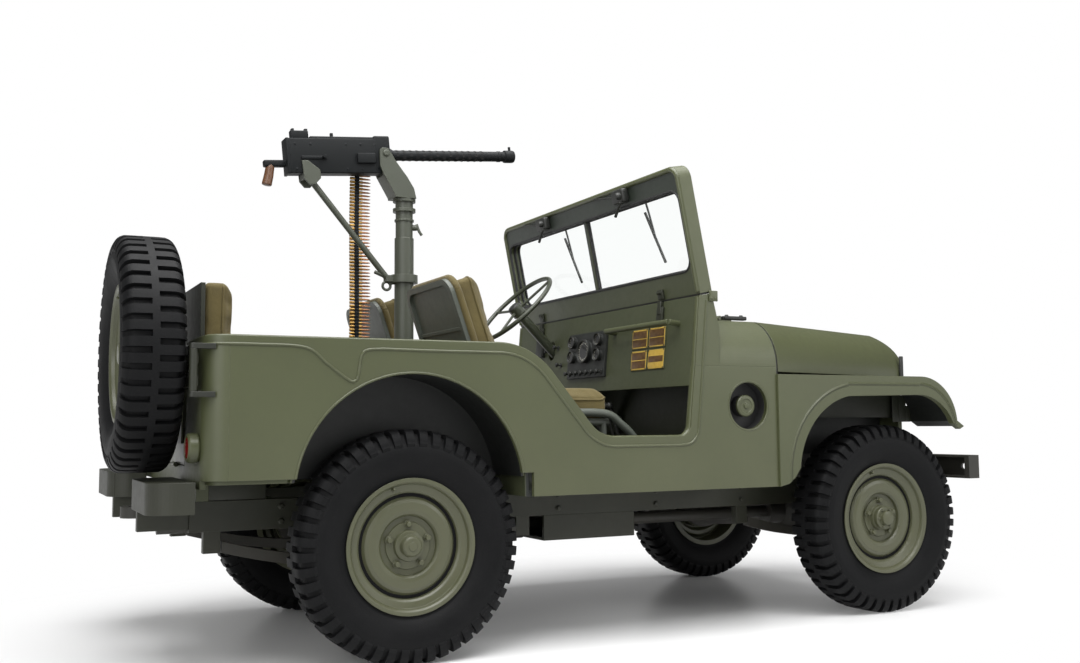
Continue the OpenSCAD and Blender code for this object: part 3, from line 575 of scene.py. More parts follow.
# painted shade: the socket's cup takes the black strip finish to darken its recess
dress(["side_socket"], seal_black)
socket_at = np.array([0.468, -0.76, 0.837])
joined("socket_ring", [turned([(87.5, -12), (88.5, -2), (92.5, 1.2), (95.5, 0.4), (95.5, -0.5), (90, -4)],
                              socket_at, (0, -1, 0), 64, True)], body_paint)
joined("socket_cap", [turned([(1, -26), (41, -26), (41, -18), (37, -14), (27, -13), (25, -16), (12, -16),
                              (10, -11), (1, -10)], socket_at, (0, -1, 0), 32)], body_paint)

# Dash fittings. A black gauge cluster with glazed dials, toggle switches and pull knobs,
# thin blank metal plates in brown lacquer, and a bent steel grab bar screwed to the dash.
on_dash = np.array([0.2357, 0.0, 1.06]), -5.2733
dress(["dash_fittings"], lined_and_shaded("dash_metal", lambda t, place: ramp(t, place["Y"], -0.14, -0.13),
                               (0.01, 0.011, 0.01, 1)))


def leaned(shapes, at, degrees):
    """Shapes tipped nose up about Y by an angle and set at a place."""
    c, s = np.cos(np.radians(degrees)), np.sin(np.radians(degrees))
    return [(v @ np.array([[c, 0, s], [0, 1.0, 0], [-s, 0, c]]) + at, f) for v, f in shapes]


dial_face, t, b = material("dial_face")
at = add(t, "TexCoord").outputs["UV"]
centre = add(t, "VectorMath", {0: at, 1: (0.5, 0.5, 0)}, operation="SUBTRACT").outputs[0]
split = add(t, "SeparateXYZ", {"Vector": centre}).outputs
ticks_round = 24 / (2 * np.pi)
tick = math_node(t, "PINGPONG", times(t, math_node(t, "ARCTAN2", split["Y"], split["X"]), ticks_round), 0.5)
reach = length(t, centre)
mark = times(t, ramp(t, tick, 0.1, 0.06), ramp(t, reach, 0.33, 0.34), ramp(t, reach, 0.44, 0.43))
feed(b, Base_Color=mixed(t, mark, (0.012, 0.012, 0.012, 1), (0.75, 0.73, 0.62, 1)),
     Roughness=0.25, Coat_Weight=0.8)
bezels, knobs = [], []
dials = [(0.052, 0.025, 50)] + [(y, z, 26) for z in (0.07, 0.005) for y in (-0.06, 0.165)]
faces_of, uv_of = [], []
unit = ring_of((0, 0, 0), 1.0, 28, "yz")[:, 1:]
for y, z, r in dials:
    front = -0.026 if r > 30 else -0.024
    bezels.append(turned([(r * 0.88, 0), (r * 1.06, 0), (r * 1.06, 6), (r * 0.98, 8.5), (r * 0.88, 5)],
                         (front, y, z), (-1, 0, 0), 32, True))
    faces_of.append((at_x((y, z) + 0.00093 * r * unit * (-1, 1), front - 0.0012), [tuple(range(28))]))
    uv_of.append(0.5 + 0.47 * unit)
dial_piece = joined("gauge_dials", leaned(faces_of, *on_dash), dial_face, smooth=False)
layer = dial_piece.data.uv_layers.new(name="dial")
layer.data.foreach_set("uv", np.concatenate(uv_of)[[l.vertex_index for l in dial_piece.data.loops]].ravel())
switches = [(-0.012, y, -0.068) for y in np.linspace(-0.085, 0.19, 7)]
for knob_at in switches + [(0, 0.337, 0.062), (0, 0.3, -0.02), (0, 0.42, 0.05)]:
    knobs.append(turned([(9, 0), (11, 0), (11, 3), (4, 4), (4, 16), (9, 18), (10, 26), (7, 29), (0.5, 29)],
                        knob_at, (-1, 0, 0), 16))
knobs.append(block((-0.009, 0.5, 0.07), (0.01, 0.035, 0.045), 0.006))
joined("gauge_bezels", leaned(bezels + knobs, *on_dash), dark_paint)
plate_metal = flecked("lacquered_plates", (60.0, 6.0, 0.75),
                      ((0.085, 0.042, 0.018, 1), (0.17, 0.098, 0.038, 1)), (0.3, 0.5), 0.0004, (0.35, 0.7))
feed(plate_metal.node_tree.nodes["Principled BSDF"], Metallic=0.35)
plates, borders, pins = [], [], []
for y in (-0.37, -0.495):
    for z in (-0.036, 0.05):
        borders.append(block((-0.0046, y, z), (0.001, 0.0555, 0.0375), 0.0008))
        rows = ((0.0, 0.012),) if (y, z) == (-0.495, -0.036) else ((0.017, 0.015), (-0.017, 0.015))
        plates += [block((-0.0056, y, z + up), (0.0006, 0.0515, tall), 0.0005) for up, tall in rows]
        pins += [turned([(0.4, 0), (3, 0), (2.4, 1.5), (0.4, 2)],
                        (-0.0056, y + a * 0.0525, z + c * 0.0345), (-1, 0, 0), 8)
                 for a in (-1, 1) for c in (-1, 1)]
joined("dash_plates", leaned(plates, *on_dash), plate_metal)
yellow = flecked("yellow_plate_border", (70.0, 6.0, 0.75), ((0.38, 0.24, 0.03, 1), (0.52, 0.36, 0.07, 1)),
                 (0.35, 0.55), 0.0003, (0.35, 0.7))
joined("dash_plate_borders", leaned(borders, *on_dash), yellow)
joined("dash_plate_pins", leaned(pins, *on_dash), dark_paint)

# Hood. One deep-drawn sheet hinged at the cowl, narrow at the nose, its front rolled down
# over the top of the grille; beside it a dark strip is painted shade for the nose's shaded front face.
stations = [(0.612, 0.76, 0.985, 0.195, 1.204), (1.4, 0.548, 0.985, 0.178, 1.166),
            (1.504, 0.518, 0.978, 0.12, 1.108)]


def hood_sheet(inset):
    """Hood skin: scuttle sections whose sizes run straight to the nose, then bend down by a quarter turn."""
    along = np.concatenate([np.linspace(0, 1, 30), 1 + np.linspace(0, 1, 12)[1:]])
    s = np.asarray(stations)
    rows = []
    for k in along:
        if k <= 1:
            x, hw, zs, r, zt = s[0] + (s[1] - s[0]) * k
        else:
            q = (k - 1) * np.pi / 2
            fall = 0.6 * (1 - np.cos(q)) + 0.4 * np.sin(q)
            x = s[1, 0] + (s[2, 0] - s[1, 0]) * np.sin(q)
            share = np.array([np.sin(q) * 0.6 + fall * 0.4, fall, fall, fall])
            hw, zs, r, zt = s[1, 1:] + (s[2, 1:] - s[1, 1:]) * share
        section = section_of(hw - inset, 0.967, zs, r - inset, zt - inset)
        rows.append(at_x(section, x - (inset if k > 1.5 else 0)))
    tip = rows[-1].copy()
    tip[:, 2] = np.minimum(tip[:, 2], 1.036)
    return np.stack(rows + [tip])


def shell(outer, inner):
    """Two like grids as the two faces of a sheet, joined all round their borders."""
    rows, cols = outer.shape[:2]
    f = grid_faces(rows, cols, False, False)
    n = rows * cols
    rim = np.concatenate([np.arange(cols), cols * np.arange(1, rows) + cols - 1,
                          (rows - 1) * cols + np.arange(cols - 2, -1, -1), cols * np.arange(rows - 2, 0, -1)])
    nxt = np.roll(rim, -1)
    sides = np.stack([rim, rim + n, nxt + n, nxt], -1)
    return (np.concatenate([outer.reshape(-1, 3), inner.reshape(-1, 3)]),
            [tuple(k) for k in np.concatenate([f, f[:, ::-1] + n, sides])])


hood_piece = joined("hood_skin", [shell(hood_sheet(0.0), hood_sheet(0.0035))], body_paint, "hood", angle=0.9)
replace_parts(hood_piece, "hood")
knuckles = []
for s in both_sides:
    pin_at = (0.608, s * 0.34 + (0 if s > 0 else -0.06), 1.207)
    knuckles.append(turned([(1, 0), (10, 0), (10, 60), (1, 60)], pin_at, (0, 1, 0), 20))
    knuckles.append(block((0.64, s * 0.37, 1.199), (0.03, 0.028, 0.005), 0.003))
    knuckles += hexes([(0.635, s * 0.355, 1.203), (0.655, s * 0.385, 1.202)], (0, 0, 1), 5.5, 6)
joined("hood_fittings", knuckles, body_paint, "hood")
aprons = paired((1.24, 0.5125, 0.871), (0.22, 0.0015, 0.079), 0.001)
for x, half, top in ((1.44, 0.02, 0.918), (1.48, 0.02, 0.886), (1.513, 0.013, 0.842)):
    aprons += paired((x, 0.529, 0.5 * (0.772 + top)), (half, 0.0015, 0.5 * (top - 0.772)), 0.001)
joined("fender_aprons", aprons, frame_paint)
joined("cowl_rests", paired((0.54, 0.585, 1.1865), (0.055, 0.013, 0.0075), 0.004)
       + hexes([(0.505 + k, s * 0.585, 1.1935) for s in both_sides for k in (0, 0.07)], (0, 0, 1), 7, 6),
       dark_paint)
# painted shade: dark strips beside the nose stand for the hood's shaded front face
joined("hood_nose_shade", paired((1.473, 0.5375, 1.012), (0.01, 0.0045, 0.046), 0.003), dark_paint)

# Front fenders. Rounded steel wings bolted to the cowl and the grille, with a turned-in
# flange along the wheel opening that shows as a fine raised bead on the outside.
fender_paint = bpy.data.materials["fender_with_painted_underside_shade"]
t, b = fender_paint.node_tree, fender_paint.node_tree.nodes["Principled BSDF"]
place = place_of(t)
bead_half = 0.0075
raised = times(t, ramp(t, apart(t, place["Z"], 0.9245), bead_half, 0.0),
               ramp(t, place["X"], 0.948, 0.952), ramp(t, place["X"], 1.342, 1.338))
for x, z, r, low, high in ((1.01, 0.572, 0.353, 0.96, 0.955), (1.3382, 0.7281, 0.1989, 1.335, 1.34)):
    near = ramp(t, apart(t, from_axis(t, place, x, z), r), bead_half, 0.0)
    raised = math_node(t, "MAXIMUM", raised, times(t, near, ramp(t, place["X"], low, high)))
raised = times(t, raised, ramp(t, apart(t, place["Y"]), 0.769, 0.7695))
feed(b, Normal=bump(t, raised, 0.006, Normal=b.inputs["Normal"].links[0].from_socket))
bolts_at = [(x, s * 0.62, 0.959) for s in both_sides for x in (0.65, 0.72)]
joined("fender_bolts", hexes(bolts_at, (0, 0, 1), 6, 6), body_paint)

# Grille and lamps. The slotted panel carries two sealed head lamps in painted rings and two
# marker lamps; at the rear are two round lamps with red glass in painted cups.
lamp_glass, t, b = material("lamp_glass")
at = add(t, "TexCoord").outputs["Object"]
flute = add(t, "TexWave", {"Vector": at, "Scale": 18.0}, bands_direction="Y").outputs["Fac"]
feed(b, Base_Color=(0.86, 0.88, 0.88, 1), Transmission_Weight=0.75,
     Roughness=ramp(t, flute, 0.0, 1.0, 0.05, 0.16), Normal=bump(t, flute, 0.0015))
red_glass, t, b = material("red_lamp_glass")
at = add(t, "TexCoord").outputs["Object"]
flute = add(t, "TexVoronoi", {"Vector": at, "Scale": 160.0}).outputs["Distance"]
feed(b, Base_Color=mixed(t, flute, (0.22, 0.008, 0.006, 1), (0.1, 0.004, 0.004, 1)),
     Roughness=ramp(t, flute, 0.0, 1.0, 0.08, 0.25), Normal=bump(t, flute, 0.001))
cups, lenses, red = [], [], []
for s in both_sides:
    head, mark, tail = (1.483, s * 0.405, 0.915), (1.483, s * 0.405, 0.77), (-1.527, s * 0.66, 0.71)
    cups.append(turned([(80, -18), (87, -18), (97, 0), (97, 6), (92, 10.5), (84, 10.5), (80, 4)],
                       head, (1, 0, 0), 48, True))
    lenses.append(turned([(0.5, -16), (81, -14), (81, 1), (60, 8), (30, 11), (0.5, 12)],
                         head, (1, 0, 0), 48))
    cups.append(turned([(1, 0), (36, 0), (34, 20), (30, 24), (1, 24)], mark, (1, 0, 0), 32))
    lenses.append(turned([(1, 23), (27, 23), (22, 30), (1, 33)], mark, (1, 0, 0), 32))
    cups.append(turned([(1, 0), (40, 0), (45, 6), (45, 30), (40, 36), (36, 36), (35, 31), (1, 30)],
                       tail, (-1, 0, 0), 36))
    red.append(turned([(1, 30), (35.2, 30), (30, 35), (1, 38)], tail, (-1, 0, 0), 36))
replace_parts(joined("lamp_cups", cups, body_paint), "lamps")
joined("lamp_lenses", lenses, lamp_glass)
joined("tail_lamp_lenses", red, red_glass)

# Windshield. A steel frame that folds forward on its hinges, two panes set in black rubber,
# and two wipers whose motors sit on the inside of the top rail.
on_shield = np.array([0.318, 0.0, 1.262]), 11.0


def pane_loop(y0, y1, z0, z1, r, x):
    """A closed loop round a pane with round corners, in the windshield's own plane."""
    centres = ((y1 - r, z1 - r, 0), (y0 + r, z1 - r, 90), (y0 + r, z0 + r, 180), (y1 - r, z0 + r, 270))
    return at_x(np.concatenate([arc_points(cy, cz, r, k, k + 90, 9) for cy, cz, k in centres]), x)


seals = [swept(pane_loop(-0.733, 0.733, 0.094, 0.402, 0.048, x), 0.0055, 10, True) for x in (-0.06, -0.01)]
seals += [swept(pane_loop(-0.732, 0.732, 0.095, 0.401, 0.047, -0.035), 0.0075, 8, True)]
for s in both_sides:
    seals += [swept([(x, s * 0.0125, z) for z in (0.098, 0.25, 0.398)], 0.0045, 8) for x in (-0.04, -0.03)]
seals.append(block((-0.036, 0, 0.0012), (0.025, 0.757, 0.0034), 0.0015))
joined("pane_seals", leaned(seals, *on_shield), seal_black, "windshield")
plates = paired((0.313, 0.764, 1.246), (0.019, 0.003, 0.02), 0.0025)
plates += hexes([(0.303 + k, s * 0.7665, 1.237) for s in both_sides for k in (0, 0.018)],
                [(0, s, 0) for s in both_sides for k in (0, 1)], 5, 2.8)
joined("shield_hinge_plates", plates, body_paint)


def hoop(foot_y, heights, corner, x, count=12):
    """A hoop in Y and Z at an X: points up a leg and a quarter circle, then the same mirrored."""
    half = np.concatenate([[(foot_y, z) for z in heights], arc_points(*corner, 0, 90, count)])
    return at_x(np.concatenate([half, half[::-1] * (-1, 1)]), x)


rim_line = hoop(0.749, (0.012, 0.2), (0.705, 0.437, 0.044), -0.0615)
joined("shield_rim", leaned([swept(rim_line, 0.0105, 12)], *on_shield), body_paint, "windshield")
pane, t, b = material("windshield_pane")
feed(b, Base_Color=(0.96, 0.98, 0.97, 1), Transmission_Weight=1.0, IOR=1.14,
     Roughness=ramp(t, noise(t, 7.0, 6.0, 0.7), 0.35, 0.75, 0.0, 0.05))
dress(["windshield_glass"], pane)
wiper_parts, clamps, latches = [], [], []
for y in (-0.363, 0.317):
    arm = [(0.007, y - 0.035, 0.446), (0.012, y - 0.043, 0.4), (0.009, y - 0.06, 0.33),
           (0.004, y - 0.078, 0.262)]
    hose = [(-0.078, y + 0.045, 0.446), (-0.08, y + 0.09, 0.456), (-0.074, y + 0.16, 0.466),
            (-0.066, y + 0.22, 0.474)]
    wiper_parts += [
        block((-0.078, y, 0.446), (0.016, 0.045, 0.028), 0.008),
        turned([(1, 0), (14, 0), (14, 12), (10, 18), (1, 18)],
               (-0.094, y - 0.02, 0.446), (-1, 0, 0), 18),
        turned([(1, 0), (11, 0), (11, 20), (7, 26), (1, 26)],
               (-0.014, y - 0.035, 0.44), (1, 0, 0), 16),
        swept(smooth_path(arm, 14), 0.0042, 8),
        swept([(0.003, y - 0.038, 0.365), (0.003, y - 0.078, 0.258), (0.003, y - 0.12, 0.15)], 0.0055, 8),
        swept([(-0.098, y - 0.03, 0.42), (-0.1, y - 0.002, 0.395), (-0.1, y + 0.026, 0.37)], 0.006, 10),
        swept(smooth_path(hose, 14), 0.0035, 8)]
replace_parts(joined("wiper_sets", leaned(wiper_parts, *on_shield), dark_paint, "windshield"), "wipers")
riser_lean = np.degrees(np.arctan2(0.0242, 0.262))
for y in (-0.51, 0.51):
    clamps += [block((-0.067, y, 0.026), (0.0055, 0.019, 0.019), 0.003),
               swept([(-0.073, y + k, 0.034) for k in (-0.014, 0, 0.014)], 0.0055, 10)]
    for drop, half in ((-0.052, (0.006, 0.021, 0.034)), (-0.022, (0.01, 0.012, 0.026))):
        latches += leaned([block((-0.0055, y, drop), half, 0.003)], (0.2525, 0, 1.243), -riser_lean)
for y in (-0.585, 0.585):
    clamps += hexes([(-0.008, y - 0.012, 0.045), (-0.008, y + 0.012, 0.045)], (1, 0, 0), 5, 5)
joined("windshield_clamps", leaned(clamps, *on_shield), frame_paint, "windshield")
joined("riser_latches", latches, frame_paint)

# Seats. Tube frames and pressed pans carry loose cushions: cotton canvas sewn over hair
# padding, full and round, with a corded seam along the edges.
cabin_paint = painted("cabin_green_paint", (0.058, 0.066, 0.053), (0.12, 0.125, 0.09), 0.45, dust=0.0)
dress(["seat_frame_left", "seat_frame_right"], cabin_paint)
side_line = [(-0.24, 0.812), (-0.122, 0.815), (-0.046, 0.806), (0.001, 0.773), (0.05, 0.73),
             (0.095, 0.66), (0.105, 0.56)]
side_tube = smooth_path(on_side(np.array(side_line), 0.6), 40)
joined("seat_side_tubes", [swept(side_tube * (1, s, 1), 0.015, 16) for s in both_sides], cabin_paint)
canvas, t, b = material("tan_canvas")
at = add(t, "TexCoord").outputs["Object"]
thread = {"Vector": at, "Scale": 150.0, "Distortion": 0.6, "Detail": 1.0}
warp, weft = (add(t, "TexWave", thread, bands_direction=way).outputs["Fac"] for way in ("Y", "DIAGONAL"))
stain = noise(t, 5.0, 6.0, 0.65)
weave = math_node(t, "MAXIMUM", warp, weft)
tone = mixed(t, ramp(t, stain, 0.32, 0.72), (0.074, 0.056, 0.015, 1), (0.108, 0.083, 0.024, 1))
tone = mixed(t, ramp(t, weave, 0.2, 0.9, 0.18, 0.0), tone, (0.045, 0.036, 0.014, 1))
fine = bump(t, weave, 0.0006, Strength=0.5)
wrinkled = bump(t, noise(t, 16.0, 3.0, distortion=0.8), 0.006, Strength=0.5, Normal=fine)
feed(b, Base_Color=tone, Roughness=0.88, Sheen_Weight=0.08, Normal=wrinkled)


def stuffed(half, cap=0.022):
    """A block remeshed evenly and blown up by a cloth's pressure, its shift capped, its underside kept flat."""
    shape = block((0, 0, 0), half, min(half) * 0.45, None, 4)
    piece = joined("stuffing", [shape], canvas)
    even = piece.modifiers.new("even", "REMESH")
    even.mode, even.voxel_size = "VOXEL", 0.009
    graph = bpy.context.evaluated_depsgraph_get()
    even_mesh = bpy.data.meshes.new_from_object(piece.evaluated_get(graph))
    piece.modifiers.clear()
    piece.data = even_mesh
    rest = np.empty(3 * len(even_mesh.vertices))
    even_mesh.vertices.foreach_get("co", rest)
    rest = rest.reshape(-1, 3)
    moved = rest.copy()
    cloth = piece.modifiers.new("fill", "CLOTH")
    cloth.settings.use_pressure = True
    cloth.settings.uniform_pressure_force = 4.0
    cloth.settings.effector_weights.gravity = 0.0
    for step in range(1, 21):
        bpy.context.scene.frame_set(step)
    blown = piece.evaluated_get(bpy.context.evaluated_depsgraph_get()).data
    moved = np.empty(rest.size)
    blown.vertices.foreach_get("co", moved)
    moved = moved.reshape(-1, 3)
    bpy.context.scene.frame_set(1)
    shift = moved - rest
    far = np.linalg.norm(shift, axis=1, keepdims=True)
    shift *= np.minimum(1, cap / np.maximum(far, 1e-9))
    shift[:, 2] = np.where(rest[:, 2] < 0, np.maximum(shift[:, 2], 0), shift[:, 2])
    faces = [tuple(p.vertices) for p in even_mesh.polygons]
    bpy.data.objects.remove(piece)
    return rest + shift, faces


def corded(shape, half, level):
    """A seam cord round a cushion: the nearest surface points to a rounded outline at a height."""
    q = np.linspace(0, 2 * np.pi, 121)[:-1]
    c, s = np.cos(q), np.sin(q)
    outline = np.stack([half[0] * np.sign(c) * np.abs(c) ** 0.28, half[1] * np.sign(s) * np.abs(s) ** 0.28,
                        np.full(120, level)], -1)
    near = np.array([shape[0][np.argmin(((shape[0] - p) ** 2).sum(1))] for p in outline])
    for again in range(3):
        near = (np.roll(near, 1, 0) + near + np.roll(near, -1, 0)) / 3
    return swept(near, 0.0042, 8, True)


def set_cushion(name, shape, half, at, axes, mirror, replaced=None):
    """A stuffed shape and its cord turned into place as one padded piece, subdivided once."""
    for part, form in (("", shape), ("_cord", corded(shape, half, half[2] * 0.62))):
        v, f = form
        if mirror:
            v, f = v * (1, -1, 1), [k[::-1] for k in f]
        piece = joined(name + part, [(v @ np.asarray(axes, float) + at, f)], canvas, angle=3.1)
        if not part:
            round_off = piece.modifiers.new("round", "SUBSURF")
            round_off.levels = round_off.render_levels = 1
        if replaced and not part:
            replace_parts(piece, replaced)


lean = np.radians(19)
seat_y, back_foot = 0.385, np.array([-0.445, 0, 0.79])
upright = np.array([[-np.sin(lean), 0, np.cos(lean)], [0, 1, 0], [np.cos(lean), 0, np.sin(lean)]])
seat_half, back_half = (0.205, 0.212, 0.045), (0.215, 0.208, 0.04)
bench_half, bench_back_half = (0.192, 0.475, 0.043), (0.155, 0.475, 0.037)
seat_form, back_form, bench_form, bench_back_form = (
    stuffed(half) for half in (seat_half, back_half, bench_half, bench_back_half))
back_centre = back_foot + (0.3275, 0, -0.004) @ upright
for s, tag in ((1, "left"), (-1, "right")):
    set_cushion("seat_" + tag, seat_form, seat_half, (-0.2375, s * seat_y, 0.8395), np.eye(3), s < 0,
                "seat_cushions" if s > 0 else None)
    set_cushion("seat_back_" + tag, back_form, back_half, back_centre + (0, s * seat_y, 0), upright, s < 0)
binding = swept(hoop(0.212, (0.11, 0.3), (0.155, 0.485, 0.057), -0.046, 10), 0.0135, 12)
bindings = [k for s in both_sides for k in leaned([binding], back_foot + (0, s * seat_y, 0), 19)]
joined("seat_back_bindings", bindings, canvas)
set_cushion("bench_seat", bench_form, bench_half, (-1.275, 0, 0.887), np.eye(3), False)
set_cushion("bench_back", bench_back_form, bench_back_half, (-1.4425, 0, 1.0985), np.eye(3)[::-1], False)

# Steering and levers. A painted rim on three spokes with a black horn button, a painted
# column bolted under the dash, and floor levers with round black knobs.
dark_olive = painted("dark_olive_paint", (0.034, 0.039, 0.024), (0.1, 0.105, 0.07), 0.36, dust=0.0)
dress(["steering_wheel", "steering_column"], dark_olive)
dress(["levers"], dark_paint)
column = np.array([0.053, 0.4, 1.3])
back_way = np.array([-0.7071, 0, 0.7071])
joined("horn_button", [turned([(1, 8), (30, 8), (31, 13), (22, 19), (20, 17), (1, 21)],
                              column, back_way, 28)], dark_paint, "steering_wheel")

# Pedestal and gun. A painted steel post bolted to the load floor carries an inert display
# gun in phosphated steel, with a pierced barrel sleeve and a brown grip; a strut pins it.
on_gun = np.array([-0.719, 0.0, 1.843]), 5.4
post_x = -0.63
post_paint = painted("post_paint", (0.043, 0.048, 0.034), (0.12, 0.125, 0.09), 0.46, dust=0.0)
dress(["gun_pedestal", "gun_strut"], post_paint)
fit = hexes(ring_of((post_x, 0, 0.628), 0.098, 6, "xy", 0.5), (0, 0, 1), 9, 10)
fit += [turned([(33.5, 0), (38.5, 2), (38.5, 10), (33.5, 12)], (post_x, 0, 1.58), (0, 0, 1), 40, True),
        turned([(1, 0), (12, 0), (12, 16), (9, 20), (1, 20)], (-0.598, -0.006, 1.56), (1, -0.3, 0), 16),
        swept(smooth_path([(-0.582, -0.012, 1.574), (-0.578, -0.014, 1.56), (-0.572, -0.016, 1.545),
                           (-0.562, -0.018, 1.53)], 12), 0.006, 10),
        turned([(1, -52), (10, -52), (13, -49), (13, 49), (10, 52), (1, 52)], (-0.722, 0, 1.843),
               (0, 1, 0), 20)]
fit += [swept(ring_of((-0.703, 0, 1.322), 0.016, 24, "xz"), 0.0055, 10, True),
        swept([(-0.69, 0, 1.332), (-0.68, 0, 1.336), (-0.668, 0, 1.34)], 0.008, 10)]
joined("pedestal_fittings", fit, post_paint)
gun_steel = painted("phosphated_steel", (0.005, 0.006, 0.0066), (0.035, 0.036, 0.04), 0.52, dust=0.0,
                    wear=0.4, relief=0.0004, metallic=0.1)
feed(gun_steel.node_tree.nodes["Principled BSDF"], Specular_IOR_Level=0.18)
gun_blocks = [((-0.2035, 0, -0.0095), (0.1835, 0.032, 0.0675), 0.004),
              ((-0.17, 0, 0.0585), (0.13, 0.03, 0.0085), 0.005),
              ((-0.013, 0, 0.006), (0.033, 0.0345, 0.0655), 0.007),
              ((-0.334, 0, 0.074), (0.035, 0.013, 0.018), 0.004),
              ((-0.358, 0, 0.093), (0.005, 0.011, 0.007), 0.002),
              ((-0.306, 0, 0.094), (0.006, 0.008, 0.006), 0.002),
              ((-0.205, 0, 0.073), (0.006, 0.006, 0.013), 0.003),
              ((-0.389, 0, -0.01), (0.006, 0.034, 0.069), 0.003),
              ((-0.433, 0, -0.036), (0.046, 0.015, 0.013), 0.006),
              ((-0.083, -0.038, -0.02), (0.037, 0.0075, 0.02), 0.003),
              ((0.56, 0, 0.031), (0.005, 0.0035, 0.0105), 0.0015)]
gun_parts = [block(*k) for k in gun_blocks]
sleeve = [(1, 20), (27, 22), (27, 30), (23.5, 30), (23.5, 36), (20.8, 36), (20.8, 500), (22.5, 500),
          (22.5, 512), (20.5, 512), (20.5, 530), (25.8, 533), (26.2, 537), (26.2, 568),
          (24, 574.5), (12, 575.5), (8.5, 572), (8.5, 552), (0.5, 552)]
gun_parts.append(turned(sleeve, (0, 0, 0), (1, 0, 0), 40))
gun_parts += [swept([(-0.255, y, -0.018) for y in (-0.03, -0.048, -0.062)], 0.0065, 10),
              block((-0.29, -0.0345, -0.018), (0.05, 0.003, 0.006), 0.0015)]
rivets_at = np.array([(x, s * 0.0318, z) for x in (-0.36, -0.3, -0.16, -0.1, -0.04)
                      for z in (-0.062, 0.035) for s in both_sides])
gun_parts += [turned([(0.4, 0), (4.5, 0), (4, 1.4), (0.4, 2)], p, p * (0, 1, 0), 10) for p in rivets_at]
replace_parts(joined("gun_outside", leaned(gun_parts, *on_gun), gun_steel), "gun")
holes = []
for row in range(14):
    for k in range(6):
        a = (k + 0.5 * (row % 2)) * np.pi / 3
        out_to = np.array([0, np.cos(a), np.sin(a)])
        holes.append(turned([(0.5, 0), (7.8, 0), (7.4, 0.6), (0.5, 0.7)],
                            np.array([0.055 + 0.0285 * row, 0, 0]) + 0.0203 * out_to, out_to, 14))
pierced = flecked("sleeve_holes", (80.0, 2.0), ((0.003, 0.003, 0.003, 1), (0.008, 0.008, 0.008, 1)),
                  (0.95, 0.95), 0.0)
joined("sleeve_holes", leaned(holes, *on_gun), pierced)
grip_brown = flecked("brown_grip", (45.0, 5.0, 0.5, 1.5), ((0.045, 0.018, 0.008, 1), (0.13, 0.058, 0.024, 1)),
                     (0.3, 0.45), 0.0008)
grip_path = smooth_path([(-0.452, 0, -0.04), (-0.457, 0, -0.06), (-0.463, 0, -0.085), (-0.47, 0, -0.108),
                         (-0.473, 0, -0.119)], 24)
grip_size = np.interp(np.linspace(0, 1, 24), [0, 0.15, 0.5, 0.8, 0.95, 1],
                      [0.015, 0.0165, 0.018, 0.019, 0.0185, 0.012])
joined("grip", leaned([swept(grip_path, grip_size, 20)], *on_gun), grip_brown)

# Cartridge belt. Inert brass rounds held side by side by steel links, hung from the feed
# block and down the left of the post.
brass, t, b = material("cartridge_brass")
tarnish = noise(t, 40.0, 4.0, 0.7)
case_tone = mixed(t, ramp(t, tarnish, 0.35, 0.7), (0.42, 0.26, 0.075, 1), (0.24, 0.135, 0.045, 1))
feed(b, Base_Color=mixed(t, ramp(t, place_of(t)["X"], -0.788, -0.787), case_tone, (0.4, 0.2, 0.11, 1)),
     Roughness=ramp(t, tarnish, 0.3, 0.7, 0.28, 0.48), Metallic=0.85)
rounds, links_of = [], []
case = [(0.5, 0), (6, 0), (6, 1.5), (5, 1.8), (5, 3), (6, 3.6), (5.8, 49), (4.4, 54), (4.3, 63), (3.9, 63.5),
        (3.6, 72), (2.2, 80), (0.4, 85)]
for z in np.arange(0.908, 1.806, 0.0134):
    sway = 0.004 * np.sin(z * 9.0)
    rounds.append(turned(case, (-0.836, 0.056 + sway, z), (1, 0, 0), 12))
    links_of.append(turned([(6, 0), (7, 0), (7, 17), (6, 17)], (-0.817, 0.056 + sway, z), (1, 0, 0), 12))
    links_of.append(block((-0.8085, 0.0495 + sway, z), (0.0085, 0.001, 0.0066), 0.0008, None, 1))
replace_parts(joined("belt_rounds", rounds, brass), "cartridge_belt")
links_of += leaned([block((-0.083, 0.039, -0.02), (0.037, 0.007, 0.02), 0.003)], *on_gun)
joined("belt_links", links_of, gun_steel)

# Spare wheel and rear. The spare hangs on a swinging arm at the right rear corner, its
# nuts on the carrier's studs; four bolts hold the arm's plate.
plate_bolts = np.array([(-1.567, y, z) for y in (-0.43, -0.32) for z in (0.92, 1.06)])
joined("carrier_bolts", hexes(plate_bolts, (-1, 0, 0), 8, 8), body_paint, "spare_carrier")

# Floor and light. A pale studio floor that fades to plain white, a broad soft light above
# and two weaker ones on the camera's side, so that the shadow under the car stays soft.
floor_mesh = bpy.data.meshes.new("studio_floor")
floor_mesh.from_pydata([(-40, -40, 0), (40, -40, 0), (40, 40, 0), (-40, 40, 0)], [], [(0, 1, 2, 3)])
floor = bpy.data.objects.new("studio_floor", floor_mesh)
bpy.context.scene.collection.objects.link(floor)
pale, t, b = material("pale_floor")
floor_mesh.materials.append(pale)
at = add(t, "TexCoord").outputs["Object"]
oval = add(t, "VectorMath", {0: at, 1: (0.6, 1.0, 1.0), 2: (0.0, -0.22, 0.0)},
           operation="MULTIPLY_ADD").outputs[0]
feed(b, Base_Color=(0.97, 0.97, 0.97, 1), Roughness=0.22, Specular_IOR_Level=0.22)
white = add(t, "Emission", {"Color": (1, 1, 1, 1), "Strength": 1.0})
fade = add(t, "MixShader", {0: ramp(t, length(t, oval), 1.0, 1.7), 1: b.outputs[0], 2: white.outputs[0]})
feed(t.nodes["Material Output"], Surface=fade.outputs[0])
world = bpy.data.worlds.new("studio")
bpy.context.scene.world = world
world.use_nodes = True
t = world.node_tree
back = t.nodes["Background"]
seen = add(t, "LightPath")
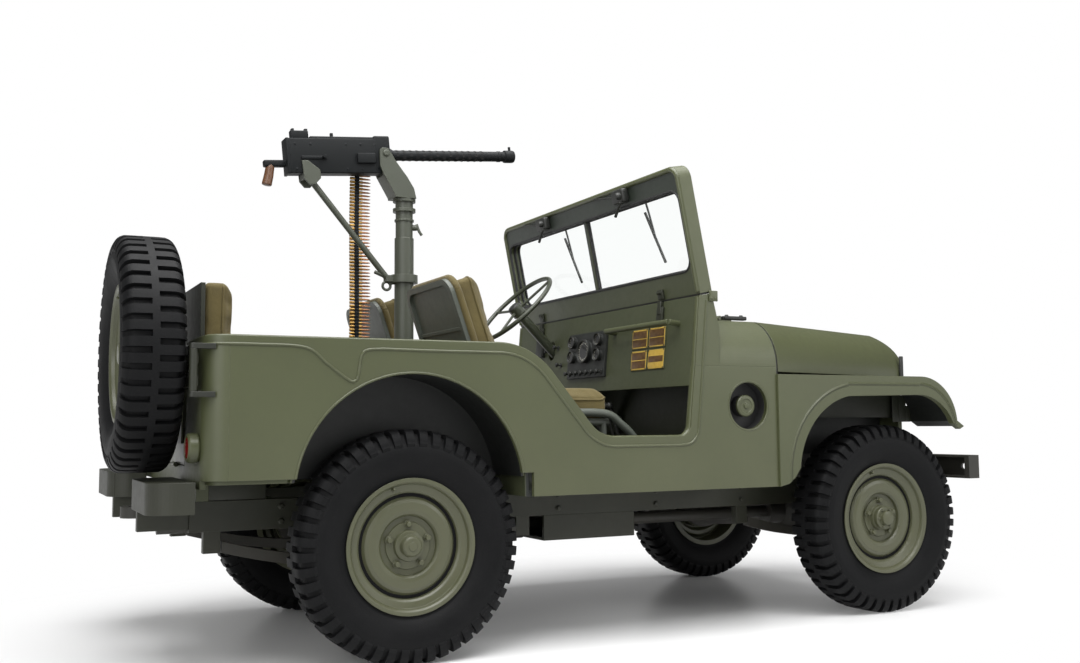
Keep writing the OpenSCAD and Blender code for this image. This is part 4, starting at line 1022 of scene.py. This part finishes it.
rays = math_node(t, "MAXIMUM", seen.outputs["Is Camera Ray"], seen.outputs["Is Transmission Ray"])
height = add(t, "SeparateXYZ", {"Vector": add(t, "TexCoord").outputs["Generated"]}).outputs["Z"]
level = math_node(t, "ADD", ramp(t, height, 0.06, 0.18, 0.85, 0.1), ramp(t, height, 0.65, 0.88, 0.0, 0.75))
gloss = seen.outputs["Is Glossy Ray"]
rest = times(t, math_node(t, "SUBTRACT", 1.0, gloss), 0.4)
strength = math_node(t, "MAXIMUM", math_node(t, "ADD", times(t, gloss, level), rest), rays)
feed(back, Strength=strength, Color=(1, 1, 1, 1))
for name, place, aim, size, power in (("top_soft", (-0.6, -1.2, 4.6), (0, 0, 0.4), 5.0, 470.0),
                                      ("camera_side", (-4.6, -4.2, 2.6), (-0.2, 0, 0.8), 3.2, 110.0),
                                      ("right_side", (3.8, -4.4, 3.0), (0.4, 0, 0.7), 3.0, 90.0)):
    lamp = bpy.data.lights.new(name, "AREA")
    lamp.size, lamp.energy = size, power
    holder = bpy.data.objects.new(name, lamp)
    way = axes_along(np.asarray(place, float) - np.asarray(aim, float))
    holder.matrix_world = Matrix([[*way[:, i], place[i]] for i in range(3)] + [[0, 0, 0, 1]])
    bpy.context.scene.collection.objects.link(holder)

# Camera. It stands low at the right rear, as in the photograph, looks slightly up along the
# car and rolls by half a degree.
ahead = np.array([0.453, 0.8875, 0.0844])
ahead /= np.linalg.norm(ahead)
right = np.array([0.8907, -0.4546, 0.0])
right -= ahead * (right @ ahead)
right /= np.linalg.norm(right)
up = np.cross(right, ahead)
roll = np.radians(-0.47)
right, up = np.cos(roll) * right + np.sin(roll) * up, np.cos(roll) * up - np.sin(roll) * right
lens = bpy.data.cameras.new("photo_camera")
lens.lens, lens.sensor_width, lens.sensor_fit = 36.89, 36.0, "HORIZONTAL"
stand = bpy.data.objects.new("photo_camera", lens)
stand_at = (-2.134, -4.131, 0.77)
stand.matrix_world = Matrix([[right[i], up[i], -ahead[i], stand_at[i]] for i in range(3)] + [[0, 0, 0, 1]])
bpy.context.scene.collection.objects.link(stand)
bpy.context.scene.camera = stand
bpy.context.scene.view_settings.view_transform = "Standard"
